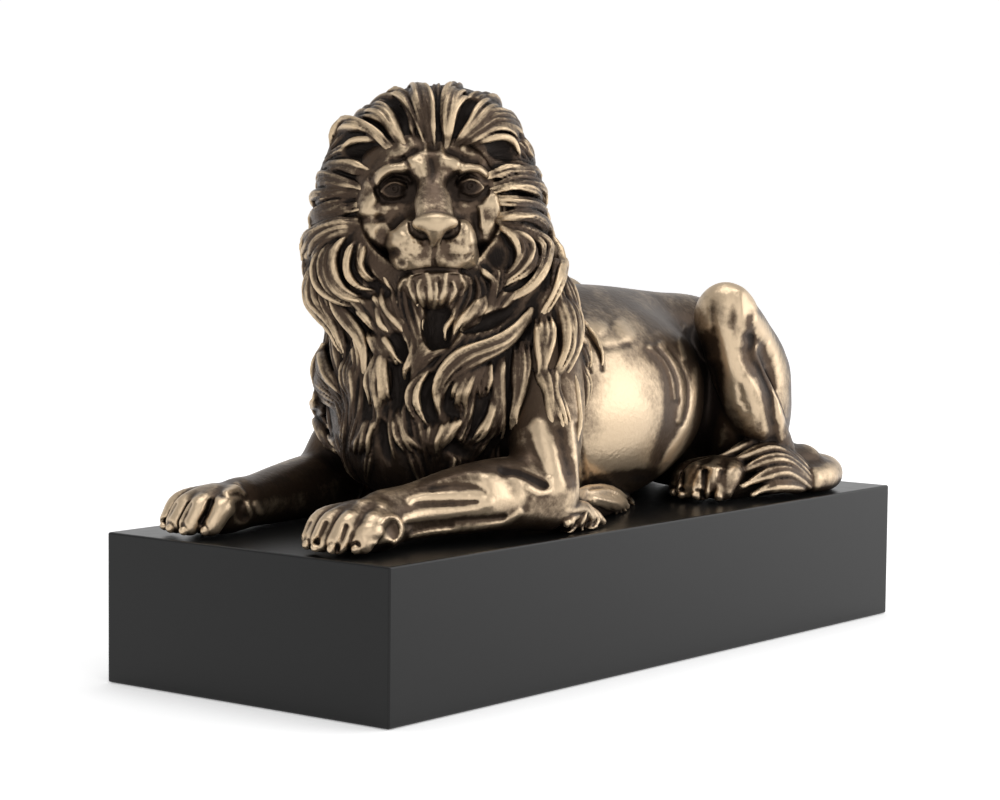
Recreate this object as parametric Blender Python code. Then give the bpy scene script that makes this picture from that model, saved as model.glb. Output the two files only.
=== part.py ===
"""A reclining lion cast in one piece, with its head turned to its own left, resting on a
rectangular plinth. Metres, +Z up. The lion looks along -Y and its left side is +X. The origin is
the centre of the plinth's underside."""

import math

import bmesh
import bpy
import numpy as np
from mathutils import Matrix, Vector
from mathutils.bvhtree import BVHTree

# Driving sizes, in metres.
LION_HEIGHT = 0.137  # sole of the paws to the top of the crown
PLINTH_HEIGHT = 0.045
FRONT_MARGIN = 0.0010  # plinth in front of the claws
BACK_MARGIN = 0.0110  # plinth behind the tail
SIDE_MARGIN = 0.0017  # plinth beside the tail tuft and the paws
PLINTH_EDGE = 0.0006  # round on the plinth's edges
SEAT_GAP = 0.0003  # between the lion's soles and the plinth

# The lion is a free form. Every place and radius on it is a share of its height, written in units
# of one part in 137, so that a unit is a millimetre at the real size. x is to the lion's left,
# y towards its tail, and h is the height over its soles.
UNIT = LION_HEIGHT / 137.0

# The lion's footprint in units: the claws, the bend of the tail, and half its width.
CLAWS_Y = -134.0
TAIL_Y = 124.0
HALF_WIDTH = 53.0

# Head frame: the point between the eyes, and how far the face turns and leans.
HEAD_AT = Vector((2.0, -55.3, 102.3))
HEAD_TURN = math.radians(43.0)
HEAD_LEAN = math.radians(-1.6)

CELL = 1.1  # grid of the modelling clay, in units
TRUNK_PASSES = 24  # smoothing of the trunk
SKIN_PASSES = 2  # smoothing of the legs and feet
MASS_PASSES = 12  # smoothing of the mane's mass
MANE_PASSES = 1  # smoothing of the locks
LION_TRIANGLES = 9300

PATH_STEPS = 5  # pieces of a smooth path between two of its points
RING_SIDES = 12

BRONZE = ("bronze finish", (0.36, 0.27, 0.18, 1.0), 0.38, 1.0)
BLACK = ("black satin", (0.016, 0.016, 0.017, 1.0), 0.32, 0.0)


def clear_scene():
    for obj in list(bpy.data.objects):
        bpy.data.objects.remove(obj, do_unlink=True)


def finish(name_colour):
    name, colour, roughness, metallic = name_colour
    material = bpy.data.materials.new(name)
    material.use_nodes = True
    shader = material.node_tree.nodes["Principled BSDF"]
    shader.inputs["Base Color"].default_value = colour
    shader.inputs["Roughness"].default_value = roughness
    shader.inputs["Metallic"].default_value = metallic
    return material


def head_matrix():
    """From head coordinates (u to the lion's left, v up, w out of the face) to the lion's own."""
    ahead = Vector((math.sin(HEAD_TURN), -math.cos(HEAD_TURN), 0.0))
    left = Vector((math.cos(HEAD_TURN), math.sin(HEAD_TURN), 0.0))
    turn = Matrix((left, Vector((0.0, 0.0, 1.0)), ahead)).transposed().to_4x4()
    return Matrix.Translation(HEAD_AT) @ turn @ Matrix.Rotation(-HEAD_LEAN, 4, "Z")


HEAD = head_matrix()


def ball(clay, at, radii, tilt=(0.0, 0.0, 0.0), frame=Matrix()):
    """An ellipsoid. tilt is in degrees about X, Y and Z."""
    rotation = Matrix()
    for axis, degrees in zip("XYZ", tilt):
        rotation = Matrix.Rotation(math.radians(degrees), 4, axis) @ rotation
    size = Matrix.Diagonal((*radii, 1.0))
    place = frame @ Matrix.Translation(at) @ rotation @ size
    bmesh.ops.create_icosphere(clay, subdivisions=3, radius=1.0, matrix=place)


def smooth_path(rows, steps=PATH_STEPS):
    """Rows of numbers along a Catmull-Rom curve through the given rows."""
    rows = np.asarray(rows, float)
    ends = np.vstack([2 * rows[0] - rows[1], rows, 2 * rows[-1] - rows[-2]])
    found = []
    for a, b, c, d in zip(ends[:-3], ends[1:-2], ends[2:-1], ends[3:]):
        for t in np.arange(steps) / steps:
            cubic = 3 * b - a - 3 * c + d
            square = 2 * a - 5 * b + 4 * c - d
            found.append(0.5 * (2 * b + (c - a) * t + square * t**2 + cubic * t**3))
    return np.vstack(found + [rows[-1:]])


def sweep(clay, centres, widths, depths, outs):
    """A closed skin of oval rings along centres, narrowing to a point past each end."""
    rings = []
    last = len(centres) - 1
    for i, centre in enumerate(centres):
        along = (centres[min(i + 1, last)] - centres[max(i - 1, 0)]).normalized()
        side = along.cross(outs[i]).normalized()
        out = side.cross(along)
        ring = []
        for k in range(RING_SIDES):
            turn = 2 * math.pi * k / RING_SIDES
            offset = side * (math.cos(turn) * widths[i]) + out * (math.sin(turn) * depths[i])
            ring.append(clay.verts.new(centre + offset))
        rings.append(ring)
    for a, b in zip(rings, rings[1:]):
        for k in range(RING_SIDES):
            after = (k + 1) % RING_SIDES
            clay.faces.new((a[k], a[after], b[after], b[k]))
    clay.faces.new(rings[0][::-1])
    clay.faces.new(rings[-1])


def limb(clay, rows, frame=Matrix()):
    """A round limb through rows of (x, y, h, radius), with a ball at each end."""
    rows = smooth_path(rows)
    centres = [frame @ Vector(row[:3]) for row in rows]
    radii = [row[3] for row in rows]
    up = Vector((0.12, 0.23, 0.97))
    sweep(clay, centres, radii, radii, [up] * len(rows))
    for centre, radius in ((centres[0], radii[0]), (centres[-1], radii[-1])):
        ball(clay, centre, (radius,) * 3)


def mirrored(rows, side):
    return [(side * row[0], *row[1:]) for row in rows]


def trunk(clay):
    ball(clay, (0, -38, 38), (34, 34, 35))
    ball(clay, (0, -2, 33), (38.5, 46, 34.5))
    ball(clay, (0, 15, 33.4), (36.9, 46, 34.3))
    ball(clay, (0, 32, 34), (34, 46, 33.5))
    ball(clay, (0, 84, 32), (28, 31, 32))
    limb(clay, [(0, -10, 58, 12.5), (0, 30, 57, 12), (0, 62, 56, 12), (0, 94, 50, 13)])
    for side in (-1, 1):
        limb(clay, mirrored([(14, 58, 46, 19), (20, 74, 44, 19), (18, 88, 42, 18)], side))


HIND_TOES = ((24.5, 47), (30, 43.5), (36, 44), (41, 49))


def hind_leg(clay, side):
    ball(clay, (side * 26, 82, 33), (17.5, 19.5, 29.5), (14, 0, 0))
    ball(clay, (side * 25, 95, 12), (15, 9.5, 12))
    thigh = [(26, 84, 41, 15.5), (31, 72.5, 52.5, 12.5), (34, 62, 60, 10.5)]
    shin = [(34.5, 60, 58, 9), (36, 64, 44, 8.6), (38, 72, 30, 9), (40, 84, 15, 6.5)]
    foot = [(40, 100, 8, 8), (38, 82, 7.5, 8), (34, 62, 6, 8)]
    for rows in (thigh, shin, foot):
        limb(clay, mirrored(rows, side))
    ball(clay, (side * 34, 61, 61), (9.8, 9.2, 11))
    for x, y in HIND_TOES:
        toe(clay, side, x, y, 0.4 * x + 20)


def toe(clay, side, x, y, root_x):
    rows = [(root_x, y + 15, 9.5, 4.8), (x, y + 6.5, 8.8, 3.6), (x, y + 1.7, 4.2, 3.2)]
    limb(clay, mirrored(rows, side))


NEAR_FORE = {
    "arm": [(30, -36, 52, 13), (36.5, -41, 37, 12), (42.5, -49, 22, 10.5), (42.8, -51, 13, 10.2)],
    "forearm": [
        (42.8, -51, 11.8, 10.7),
        (40, -64, 13, 10.8),
        (35.5, -80, 12, 10),
        (31.5, -96, 10, 8.2),
        (29.5, -107, 9, 8),
    ],
    "toes": ((20.6, -130), (25.8, -132), (31.8, -132), (37.2, -128)),
}
FAR_FORE = {
    "arm": [(26, -36, 50, 10), (30.5, -42, 36, 9.8), (37.5, -51, 20, 9.6), (40, -52, 11, 9.5)],
    "forearm": [
        (40, -52, 9, 10),
        (38, -64, 9, 10),
        (35, -80, 8.5, 9),
        (31.5, -96, 8, 7.8),
        (29.5, -105, 8, 7.8),
    ],
    "toes": ((20.8, -128), (26.1, -131.4), (32.6, -130.2), (38.2, -127)),
}


def fore_leg(clay, side, sizes):
    limb(clay, mirrored(sizes["arm"], side))
    limb(clay, mirrored(sizes["forearm"], side))
    ball(clay, (side * 29.3, -115, 7), (10.3, 12.5, 7.8))
    for x, y in sizes["toes"]:
        toe(clay, side, x, y, 0.5 * x + 14.6)


def fringe(clay, side):
    """Hair on the plinth behind the elbow, and a feather of it under the flank."""
    for i in range(3):
        back = 4.0 * i
        root = (43, -44 + back, 8 - 1.5 * i, 4)
        limb(clay, mirrored([root, (46, -38 + back, 4, 2.8), (47, -33 + back, 1.5, 1.2)], side))
    for i in range(3):
        back = 9.0 * i
        root = (41 - 2 * i, -42 + back, 6, 5)
        tip = (34 - 3 * i, -4 + back, 1.5, 1)
        limb(clay, mirrored([root, (36 - 2 * i, -20 + back, 4, 3.6), tip], side))


def tail(clay):
    """Down behind the rump, round the left heel, and forward to the tuft on the left foot."""
    down = [(0, 106, 47, 8), (3, 112, 30, 6.5), (14, 113, 13, 6)]
    round_heel = [(30, 116, 6.5, 6), (42.5, 112, 5.7, 5.7), (48, 102, 5.2, 5), (48.5, 93, 5, 4.5)]
    limb(clay, down + round_heel)
    crests = ((46, 77, 16.5), (48.5, 76, 13.5), (50, 75, 10), (49.8, 75, 5.5))
    tips = ((36, 57, 12), (41, 56, 8), (45, 56, 4), (46.5, 60, 2))
    for i, (crest, tip) in enumerate(zip(crests, tips)):
        root = (49.0, 93 - 2 * i, 5.5 - 0.8 * i, 2.8)
        middle = tuple((a + b) / 2 + lift for a, b, lift in zip(crest, tip, (1.0, 0.0, 1.8)))
        limb(clay, [root, (*crest, 3.2), (*middle, 2.6), (*tip, 1.0)])


def skull(clay):
    ball(clay, (0, 1, -2), (19.5, 17, 13.5), frame=HEAD)
    ball(clay, (0, -12, 3), (17.5, 14.5, 13), frame=HEAD)
    limb(clay, [(0, 4, 12, 6), (0, -4, 20, 5.6), (0, -10.5, 28, 5.8)], frame=HEAD)
    ball(clay, (0, -11.2, 31), (6.6, 4, 4.8), (-18, 0, 0), frame=HEAD)
    ball(clay, (0, -30, 15), (10.4, 7.6, 11), frame=HEAD)
    for side in (-1, 1):
        ball(clay, (side * 5.2, 8, 12.5), (5.6, 4.2, 4.2), frame=HEAD)
        brow = [(7, 7.5, 12.5, 3.4), (12, 6.8, 11, 3.2), (16.5, 3, 7, 2.8)]
        limb(clay, mirrored(brow, side), frame=HEAD)
        ball(clay, (side * 16, -6, 4.5), (6.2, 8, 6.4), frame=HEAD)
        ball(clay, (side * 15, -15, 4), (6.2, 6.2, 7.2), frame=HEAD)
        ball(clay, (side * 6.8, -18.2, 22.5), (7, 6.4, 9.2), frame=HEAD)
        ball(clay, (side * 11.5, 0, 8.4), (4.4, 3.2, 3.6), frame=HEAD)


def mane_mass(clay):
    ball(clay, (1.8, -7, -14), (32.5, 37.5, 22), frame=HEAD)
    ball(clay, (0.5, -24, -8), (35, 26, 24), frame=HEAD)
    ball(clay, (0, -42, -8), (30, 22, 22), frame=HEAD)
    ball(clay, (-2, -46, 44), (37, 31, 37))
    limb(clay, [(0, -44, 92, 24), (0, -29, 71, 21), (0, -12, 53, 18.5)])
    ball(clay, (-1, -57, 27), (26, 22, 20))
    ball(clay, (0, -40, 14), (24, 20, 15))
    for side in (-1, 1):
        limb(clay, mirrored([(22, -34, 66, 16), (30, -34, 48, 13), (36, -40, 34, 9)], side))


# Rows of locks. Each row runs round the face, at an angle from the line of sight of the face, or
# down the neck and chest. Every lock starts on the mane's mass and is led on over it.
FACE_ROWS = (
    # angle from the face's axis, locks round, length, half width, thickness, lift of the tips
    (44.0, 19, 27.0, 3.6, 3.4, 1.5),
    (70.0, 19, 25.0, 4.0, 3.6, 4.0),
    (98.0, 17, 26.0, 4.2, 3.4, 2.0),
    (128.0, 12, 27.0, 4.4, 3.2, 0.5),
)
NECK_ROWS = (
    # height, locks round, length, half width, thickness, lift of the tips
    (98.0, 18, 28.0, 4.4, 3.2, 0.5),
    (80.0, 20, 28.0, 4.4, 3.2, 0.5),
    (64.0, 20, 27.0, 4.2, 3.4, 0.5),
    (48.0, 18, 24.0, 4.0, 3.2, 0.5),
    (33.0, 16, 20.0, 3.6, 3.0, 0.5),
    (20.0, 14, 15.0, 3.2, 2.8, 0.5),
)
FLOW_FROM = HEAD @ Vector((0.0, -4.0, 12.0))  # locks are combed away from this point
LOCK_STEPS = 9


def on_mass(tree, outside, inside):
    way = (inside - outside).normalized()
    return tree.ray_cast(outside, way)[0]


def lead_lock(tree, start, length, wave, phase):
    """Points and outward directions of a lock that runs over the mass, away from the face."""
    points, outs = [], []
    place = start
    step = length / LOCK_STEPS
    for i in range(LOCK_STEPS + 1):
        nearest, out, _, _ = tree.find_nearest(place)
        points.append(nearest)
        outs.append(out)
        away = (nearest - FLOW_FROM).normalized() + Vector((0.0, 0.1, -0.35))
        away -= out * away.dot(out)
        bend = wave * math.cos(2 * math.pi * (0.8 * i / LOCK_STEPS + phase))
        away.rotate(Matrix.Rotation(bend, 3, out))
        place = nearest + away.normalized() * step
    return points, outs


def lock(clay, tree, start, length, half_width, thickness, lift, phase):
    points, outs = lead_lock(tree, start, length, 0.32, phase)
    share = [i / LOCK_STEPS for i in range(LOCK_STEPS + 1)]
    swell = [max(0.1, math.sin(math.pi * (0.12 + 0.86 * t)) ** 0.8) for t in share]
    rises = [(0.1 + 0.25 * math.sin(math.pi * t)) * thickness + lift * t**2 for t in share]
    centres = [p + out * rise for p, out, rise in zip(points, outs, rises)]
    widths = [half_width * s for s in swell]
    depths = [thickness * s for s in swell]
    sweep(clay, centres, widths, depths, outs)


def mane_locks(clay, tree):
    middle = HEAD @ Vector((0.0, -6.0, -8.0))
    for row, (angle, count, *sizes) in enumerate(FACE_ROWS):
        tilt = math.radians(angle)
        for i in range(count):
            turn = 2 * math.pi * (i + 0.5 * (row % 2)) / count
            across = math.sin(tilt)
            way = Vector((math.sin(turn) * across, math.cos(turn) * across, math.cos(tilt)))
            if way.y < -0.35:
                continue
            start = on_mass(tree, middle + HEAD.to_3x3() @ way * 90.0, middle)
            lock(clay, tree, start, *sizes, (i * 0.37 + row * 0.21) % 1.0)
    for row, (height, count, *sizes) in enumerate(NECK_ROWS):
        axis = Vector((0.0, -44.0 + 0.25 * (64.0 - height), height))
        for i in range(count):
            turn = 2 * math.pi * (i + 0.5 * (row % 2)) / count
            outside = axis + Vector((math.sin(turn), -math.cos(turn), 0.25)) * 90.0
            start = on_mass(tree, outside, axis)
            lock(clay, tree, start, *sizes, (i * 0.31 + row * 0.4) % 1.0)


def object_of(clay, name):
    mesh = bpy.data.meshes.new(name)
    clay.to_mesh(mesh)
    clay.free()
    obj = bpy.data.objects.new(name, mesh)
    bpy.context.scene.collection.objects.link(obj)
    return obj


def fused(clay, name, cell, passes, strength=0.5):
    """One skin round everything in clay, with its creases softened, as a new bmesh."""
    obj = object_of(clay, name)
    remesh = obj.modifiers.new("one skin", "REMESH")
    remesh.mode = "VOXEL"
    remesh.voxel_size = cell
    remesh.adaptivity = 0.0
    soften = obj.modifiers.new("soften", "SMOOTH")
    soften.factor = strength
    soften.iterations = int(round(passes))
    graph = bpy.context.evaluated_depsgraph_get()
    result = bmesh.new()
    result.from_object(obj, graph)
    bpy.data.objects.remove(obj, do_unlink=True)
    return result


def add_copy(clay, other):
    mesh = bpy.data.meshes.new("copy")
    other.to_mesh(mesh)
    clay.from_mesh(mesh)
    bpy.data.meshes.remove(mesh)


def block(name, low, high):
    clay = bmesh.new()
    size = [b - a for a, b in zip(low, high)]
    middle = [(a + b) / 2 for a, b in zip(low, high)]
    place = Matrix.Translation(middle) @ Matrix.Diagonal((*size, 1.0))
    bmesh.ops.create_cube(clay, size=1.0, matrix=place)
    return object_of(clay, name)


def make_lion(centre_y):
    core = bmesh.new()
    trunk(core)
    core = fused(core, "core", CELL, TRUNK_PASSES)

    coat = bmesh.new()
    add_copy(coat, core)
    for side, sizes in ((1, NEAR_FORE), (-1, FAR_FORE)):
        hind_leg(coat, side)
        fore_leg(coat, side, sizes)
        fringe(coat, side)
    tail(coat)
    coat = fused(coat, "coat", CELL, SKIN_PASSES)

    mass = bmesh.new()
    mane_mass(mass)
    mass = fused(mass, "mass", CELL, MASS_PASSES)
    tree = BVHTree.FromBMesh(mass)

    clay = bmesh.new()
    add_copy(clay, coat)
    add_copy(clay, mass)
    skull(clay)
    mane_locks(clay, tree)
    clay = fused(clay, "lion", CELL, MANE_PASSES)
    for used in (core, coat, mass):
        used.free()

    lion = object_of(clay, "lion")
    triangles = 2 * len(lion.data.polygons)
    lion.data.transform(Matrix.Scale(UNIT, 4))
    seat = PLINTH_HEIGHT + SEAT_GAP
    lion.location = (0.0, -centre_y, seat)
    bpy.context.view_layer.update()
    lion.data.transform(lion.matrix_world)
    lion.matrix_world = Matrix()
    thin = lion.modifiers.new("thin out", "DECIMATE")
    thin.ratio = LION_TRIANGLES / triangles
    below = block(
        "below the soles",
        (-LION_HEIGHT, -2 * LION_HEIGHT, seat - LION_HEIGHT),
        (LION_HEIGHT, 2 * LION_HEIGHT, seat),
    )
    below.hide_render = True
    below.display_type = "WIRE"
    flat = lion.modifiers.new("flat soles", "BOOLEAN")
    flat.operation = "DIFFERENCE"
    flat.object = below
    lion.data.shade_smooth()
    lion.data.materials.append(finish(BRONZE))
    return lion


def make_plinth(length):
    half_length = length / 2
    half_width = HALF_WIDTH * UNIT + SIDE_MARGIN
    corner = (half_width, half_length, PLINTH_HEIGHT)
    plinth = block("plinth", (-half_width, -half_length, 0.0), corner)
    edge = plinth.modifiers.new("edge", "BEVEL")
    edge.width = PLINTH_EDGE
    edge.segments = 2
    plinth.data.materials.append(finish(BLACK))
    return plinth


def main():
    clear_scene()
    front = CLAWS_Y * UNIT - FRONT_MARGIN
    back = TAIL_Y * UNIT + BACK_MARGIN
    make_plinth(back - front)
    make_lion((front + back) / 2)


main()
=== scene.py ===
import math
import bpy
import numpy as np
from mathutils import Matrix, Vector, kdtree


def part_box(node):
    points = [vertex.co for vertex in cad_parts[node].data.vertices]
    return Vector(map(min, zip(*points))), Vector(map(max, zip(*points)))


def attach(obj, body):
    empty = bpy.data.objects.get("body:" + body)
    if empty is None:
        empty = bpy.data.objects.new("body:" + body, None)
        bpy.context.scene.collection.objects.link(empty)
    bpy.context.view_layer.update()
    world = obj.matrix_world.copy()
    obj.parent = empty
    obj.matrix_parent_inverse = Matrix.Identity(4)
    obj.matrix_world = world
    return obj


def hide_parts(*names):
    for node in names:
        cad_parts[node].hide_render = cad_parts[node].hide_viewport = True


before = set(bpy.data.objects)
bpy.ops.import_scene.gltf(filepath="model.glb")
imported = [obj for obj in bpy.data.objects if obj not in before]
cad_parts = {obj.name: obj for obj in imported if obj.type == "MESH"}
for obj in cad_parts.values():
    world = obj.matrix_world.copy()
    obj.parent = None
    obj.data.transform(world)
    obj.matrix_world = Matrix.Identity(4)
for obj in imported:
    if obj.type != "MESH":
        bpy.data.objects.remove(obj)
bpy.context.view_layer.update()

# Everything below is modelled in millimetres, as (x, y, h): x to the lion's left, y towards its
# tail, h over the top of the plinth.
mm = 0.001
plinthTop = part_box("plinth")[1][2] / mm
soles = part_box("lion")[0][2] / mm - plinthTop  # the lion stands this far off the plinth
farAway = 12.0  # a field's value where nothing is near


def unitVector(v):
    v = np.asarray(v, float)
    return v / (np.linalg.norm(v, axis=-1, keepdims=True) + 1e-12)


def turned(degrees):
    # rotation about x, then y, then z
    a, b, c = (math.radians(v) for v in degrees)
    m = Matrix.Rotation(c, 3, "Z") @ Matrix.Rotation(b, 3, "Y") @ Matrix.Rotation(a, 3, "X")
    return np.array(m)


# The photograph's camera, in millimetres, worked out from the corners of the plinth.
camera = {
    "azimuth": 37.85,
    "elevation": 4.72,
    "roll": 0.58,
    "distance": 900.0,
    "aimX": -12.7,
    "aimZ": 78.8,
    "lens": 99.8,
    "sensor": 36.0,
    "frameWide": 1000,
    "frameHigh": 800,
}


def cameraAxes():
    a, e, r = (math.radians(camera[k]) for k in ("azimuth", "elevation", "roll"))
    back = np.array([math.sin(a) * math.cos(e), -math.cos(a) * math.cos(e), math.sin(e)])
    right = np.array([math.cos(a), math.sin(a), 0.0])
    up = np.cross(back, right)
    right, up = right * math.cos(r) + up * math.sin(r), up * math.cos(r) - right * math.sin(r)
    place = np.array([camera["aimX"], 0.0, camera["aimZ"]]) + back * camera["distance"]
    return place, right, up, back


def makeCamera():
    place, right, up, back = cameraAxes()
    data = bpy.data.cameras.new("camera")
    data.sensor_width = camera["sensor"]
    data.lens = camera["lens"]
    data.clip_end = 50.0
    obj = bpy.data.objects.new("camera", data)
    bpy.context.scene.collection.objects.link(obj)
    turn = Matrix([right, up, back]).transposed().to_4x4()
    obj.matrix_world = Matrix.Translation(Vector(place * mm)) @ turn
    bpy.context.scene.camera = obj


def sightLines(pixels):
    # start and direction of the camera's ray through each pixel of the photograph, as (x, y, h)
    place, right, up, back = cameraAxes()
    pixels = np.asarray(pixels, float)
    focal = camera["lens"] / camera["sensor"] * camera["frameWide"]
    across = (pixels[:, :1] - camera["frameWide"] / 2) * right
    along = (camera["frameHigh"] / 2 - pixels[:, 1:2]) * up
    return place - [0.0, 0.0, plinthTop], unitVector(across + along - focal * back)


makeCamera()
print("camera placed")


# Modelling clay: a box of cells that hold the distance to the surface, negative inside it.

def newClay(low, high, cell):
    low = np.array(low, float)
    count = np.ceil((np.array(high) - low) / cell).astype(int) + 1
    return {"low": low, "cell": float(cell), "d": np.full(count, farAway, np.float32)}


def reachOf(clay, low, high):
    # the part of the clay between two corners, and its coordinates
    count = np.array(clay["d"].shape)
    a = np.clip(np.floor((np.array(low) - clay["low"]) / clay["cell"]).astype(int), 0, count)
    b = np.clip(np.ceil((np.array(high) - clay["low"]) / clay["cell"]).astype(int) + 1, 0, count)
    if (b <= a).any():
        return None
    part = tuple(slice(i, j) for i, j in zip(a, b))
    x, y, z = (
        (clay["low"][k] + clay["cell"] * np.arange(a[k], b[k])).astype(np.float32) for k in range(3)
    )
    return part, x[:, None, None], y[None, :, None], z[None, None, :]


def softMin(a, b, k):
    if k <= 0:
        return np.minimum(a, b)
    h = np.clip(0.5 + 0.5 * (b - a) / k, 0, 1)
    return b + (a - b) * h - k * h * (1 - h)


def press(clay, part, d, k, cut):
    old = clay["d"][part]
    clay["d"][part] = -softMin(-old, d, k) if cut else softMin(old, d, k)


def ball(clay, at, radii, tilt=(0, 0, 0), k=3.0, head=False, cut=False):
    at = np.asarray(at, float)
    radii = np.asarray(radii, float) * np.ones(3)
    axes = turned(tilt)
    if head:
        at = headAt + headAxes @ at
        axes = headAxes @ axes
    reach = np.sqrt(((axes * radii) ** 2).sum(1)) + k + 1.5
    found = reachOf(clay, at - reach, at + reach)
    if found is None:
        return
    part, x, y, z = found
    x, y, z = x - at[0], y - at[1], z - at[2]
    q = [x * axes[0, i] + y * axes[1, i] + z * axes[2, i] for i in range(3)]
    one = np.sqrt(sum((q[i] / radii[i]) ** 2 for i in range(3)))
    two = np.sqrt(sum((q[i] / radii[i] ** 2) ** 2 for i in range(3))) + 1e-6
    press(clay, part, (one * (one - 1) / two).astype(np.float32), k, cut)


def smoothPath(rows, per=5):
    # a Catmull-Rom curve through rows of numbers
    p = np.asarray(rows, float)
    ends = np.vstack([2 * p[0] - p[1], p, 2 * p[-1] - p[-2]])
    t = (np.arange(per) / per)[:, None]
    found = []
    for a, b, c, d in zip(ends[:-3], ends[1:-2], ends[2:-1], ends[3:]):
        cubic = 3 * b - a - 3 * c + d
        square = 2 * a - 5 * b + 4 * c - d
        found.append(0.5 * (2 * b + (c - a) * t + square * t**2 + cubic * t**3))
    return np.vstack(found + [p[-1:]])


def limb(clay, rows, k=3.0, head=False, cut=False, per=5):
    # a round limb through rows of (x, y, h, radius)
    rows = smoothPath(rows, per)
    p, r = rows[:, :3], rows[:, 3]
    if head:
        p = headAt + p @ headAxes.T
    reach = r.max() + k + 1.5
    found = reachOf(clay, p.min(0) - reach, p.max(0) + reach)
    if found is None:
        return
    part, x, y, z = found
    best = None
    for a, b, ra, rb in zip(p[:-1], p[1:], r[:-1], r[1:]):
        ab = b - a
        dx, dy, dz = x - a[0], y - a[1], z - a[2]
        t = np.clip((dx * ab[0] + dy * ab[1] + dz * ab[2]) / max(ab @ ab, 1e-9), 0, 1)
        dx, dy, dz = dx - t * ab[0], dy - t * ab[1], dz - t * ab[2]
        d = np.sqrt(dx * dx + dy * dy + dz * dz) - (ra + (rb - ra) * t)
        best = d if best is None else np.minimum(best, d)
    press(clay, part, best.astype(np.float32), k, cut)


def both(rows, side):
    return [(side * row[0], *row[1:]) for row in rows]


def valueAt(clay, points):
    g = (np.asarray(points) - clay["low"]) / clay["cell"]
    g = np.clip(g, 0, np.array(clay["d"].shape) - 1.001)
    i = np.floor(g).astype(int)
    f = (g - i).astype(np.float32)
    total = 0
    for a in (0, 1):
        for b in (0, 1):
            for c in (0, 1):
                share = (f[..., 0] if a else 1 - f[..., 0]) * (f[..., 1] if b else 1 - f[..., 1])
                share = share * (f[..., 2] if c else 1 - f[..., 2])
                total = total + share * clay["d"][i[..., 0] + a, i[..., 1] + b, i[..., 2] + c]
    return total


def outwards(clay, points, step=0.9):
    moves = np.eye(3) * step
    rise = [valueAt(clay, points + m) - valueAt(clay, points - m) for m in moves]
    return unitVector(np.stack(rise, -1))


def skinOf(clay):
    # surface nets: one vertex in each cell that the surface crosses, and four-sided faces
    d = clay["d"]
    inside = d < 0
    n = np.array(d.shape) - 1
    corners = [(a, b, c) for a in (0, 1) for b in (0, 1) for c in (0, 1)]
    total = np.zeros(tuple(n), np.uint8)
    for a, b, c in corners:
        total += inside[a:n[0] + a, b:n[1] + b, c:n[2] + c]
    crossed = (total > 0) & (total < 8)
    cells = np.argwhere(crossed)
    index = np.full(tuple(n), -1, np.int32)
    index[crossed] = np.arange(len(cells))
    i, j, k = cells.T
    value = [d[i + a, j + b, k + c] for a, b, c in corners]
    summed = np.zeros((len(cells), 3))
    hits = np.zeros(len(cells))
    for p in range(8):
        for q in range(p + 1, 8):
            a, b = np.array(corners[p]), np.array(corners[q])
            if np.abs(a - b).sum() != 1:
                continue
            cross = (value[p] < 0) != (value[q] < 0)
            t = np.where(cross, value[p] / np.where(cross, value[p] - value[q], 1), 0)
            summed += np.where(cross[:, None], a + (b - a) * t[:, None], 0)
            hits += cross
    verts = clay["low"] + clay["cell"] * (cells + summed / hits[:, None])
    quads = []
    for axis, (u, v) in enumerate(((1, 2), (2, 0), (0, 1))):
        lower, upper = [slice(1, -1)] * 3, [slice(1, -1)] * 3
        lower[axis], upper[axis] = slice(0, -1), slice(1, None)
        a, b = inside[tuple(lower)], inside[tuple(upper)]
        du, dv = np.eye(3, dtype=int)[u], np.eye(3, dtype=int)[v]
        for flip, mask in ((False, a & ~b), (True, ~a & b)):
            base = np.argwhere(mask) + du + dv
            if len(base):
                q = np.stack([index[tuple((base - s).T)] for s in (du + dv, dv, 0 * du, du)], 1)
                quads.append(q[:, ::-1] if flip else q)
    return verts, np.vstack(quads)


def blurred(a, reach):
    # three box blurs along each axis
    a = a.astype(np.float32)
    for axis in range(3):
        for _ in range(3):
            pad = [(0, 0)] * 3
            pad[axis] = (reach + 1, reach)
            run = np.cumsum(np.pad(a, pad, mode="edge"), axis=axis, dtype=np.float64)
            n = a.shape[axis]
            high = [slice(None)] * 3
            low = [slice(None)] * 3
            high[axis], low[axis] = slice(2 * reach + 1, None), slice(0, n)
            a = ((run[tuple(high)] - run[tuple(low)]) / (2 * reach + 1)).astype(np.float32)
    return a


# The head's own axes: u to the lion's left, v up, w out of the face, from the point between
# the eyes.
head = {"at": (2.0, -55.3, 102.3), "turn": 43.0, "lean": 1.6}
headTurn, headLean = math.radians(head["turn"]), math.radians(head["lean"])
faceOut = np.array([math.sin(headTurn), -math.cos(headTurn), 0.0])
levelLeft = np.array([math.cos(headTurn), math.sin(headTurn), 0.0])
straightUp = np.array([0.0, 0.0, 1.0])
headLeft = levelLeft * math.cos(headLean) + straightUp * math.sin(headLean)
headUp = straightUp * math.cos(headLean) - levelLeft * math.sin(headLean)
headAt = np.array(head["at"])
headAxes = np.stack([headLeft, headUp, faceOut], 1)


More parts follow.
